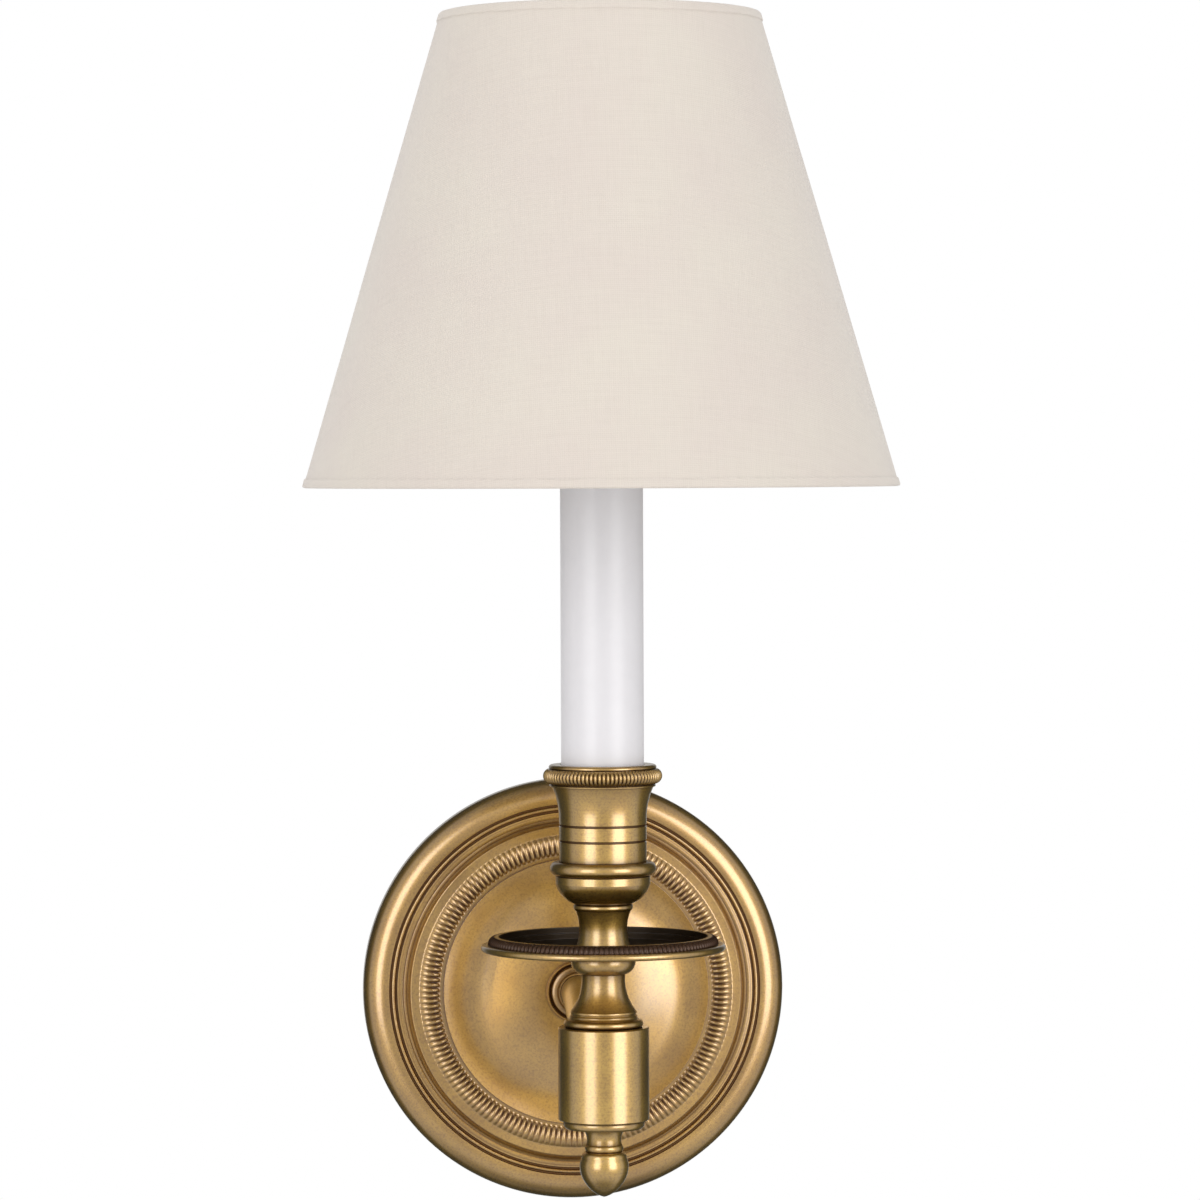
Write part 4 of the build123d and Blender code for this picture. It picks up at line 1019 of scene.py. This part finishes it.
def make_flags():
    """Dark cloth beside, over and under the studio, which gives the metal its dark edges.

    It is a thin tent that only reflections see; in front and right behind, it lets the white room in.
    """
    made = bpy.data.materials.new("flag_cloth")
    made.use_nodes = True
    tree = made.node_tree
    tree.nodes.clear()
    parts = add(tree, "ShaderNodeSeparateXYZ", {0: place_of(tree)})
    back, above = parts.outputs[1], parts.outputs[2]

    def cloth_share(place, low, high, to_low, to_high):
        """Cover by a place, which is a share of the tent's radius."""
        return spread(tree, place, low * TENT_RADIUS, high * TENT_RADIUS, to_low, to_high)

    behind = math_node(tree, "SUBTRACT", cloth_share(back, -0.05, 0.25, 0.0, 1.0),
                       cloth_share(back, 0.85, 0.95, 0.0, 0.7))
    ends = math_node(tree, "MAXIMUM",
                     cloth_share(math_node(tree, "ABSOLUTE", above), 0.62, 0.95, 0.0, 0.85),
                     cloth_share(above, -0.15, -0.4, 0.0, 0.08))
    ahead = cloth_share(back, -0.9, -0.97, 0.32, 0.52)
    cover = math_node(tree, "MAXIMUM", math_node(tree, "MAXIMUM", behind, ends), ahead)
    cloth = add(tree, "ShaderNodeEmission", {"Color": colour(98, 104, 96), "Strength": 0.6})
    clear = add(tree, "ShaderNodeBsdfTransparent")
    both = add(tree, "ShaderNodeMixShader", {0: cover, 1: clear.outputs[0], 2: cloth.outputs[0]})
    output = add(tree, "ShaderNodeOutputMaterial")
    tree.links.new(both.outputs[0], output.inputs["Surface"])
    mesh = bmesh.new()
    bmesh.ops.create_uvsphere(mesh, u_segments=64, v_segments=32, radius=TENT_RADIUS)
    flags = mesh_object("flags", mesh, made)
    flags.location = STUDIO_MIDDLE
    flags.visible_camera = flags.visible_diffuse = flags.visible_transmission = False
    flags.visible_shadow = False


def soft_box(name, turn, lift, width, height, room_glow, gloss_glow):
    """Soft box, turned right from the front and lifted by degrees, width by height in metres.

    One lamp lights matt surfaces and one shows in the gloss. The lamp for the gloss hangs a little
    in front of the other, which would hide it.
    """
    around, over = math.radians(turn), math.radians(lift)
    way = Vector((math.sin(around) * math.cos(over), -math.cos(around) * math.cos(over), math.sin(over)))
    for suffix, glow, nearer in (("_matt", room_glow, 0.0), ("_gloss", gloss_glow, 0.1)):
        data = bpy.data.lights.new(name + suffix, "AREA")
        data.shape = "RECTANGLE"
        data.size, data.size_y = width, height
        data.energy = glow * math.pi * width * height
        lamp = bpy.data.objects.new(name + suffix, data)
        bpy.context.scene.collection.objects.link(lamp)
        lamp.location = STUDIO_MIDDLE + way * (LAMP_DISTANCE - nearer)
        lamp.rotation_euler = way.to_track_quat("Z", "Y").to_euler()
        lamp.visible_camera = False
        lamp.visible_glossy = suffix == "_gloss"
        lamp.visible_diffuse = lamp.visible_transmission = suffix == "_matt"


make_world()
make_floor()
make_flags()
soft_box("left_box", -39, 8, 1.05, 1.75, 1.9, 2.7)
soft_box("right_box", 37, 8, 1.25, 1.75, 1.5, 3.2)
bpy.context.scene.view_settings.view_transform = "Standard"
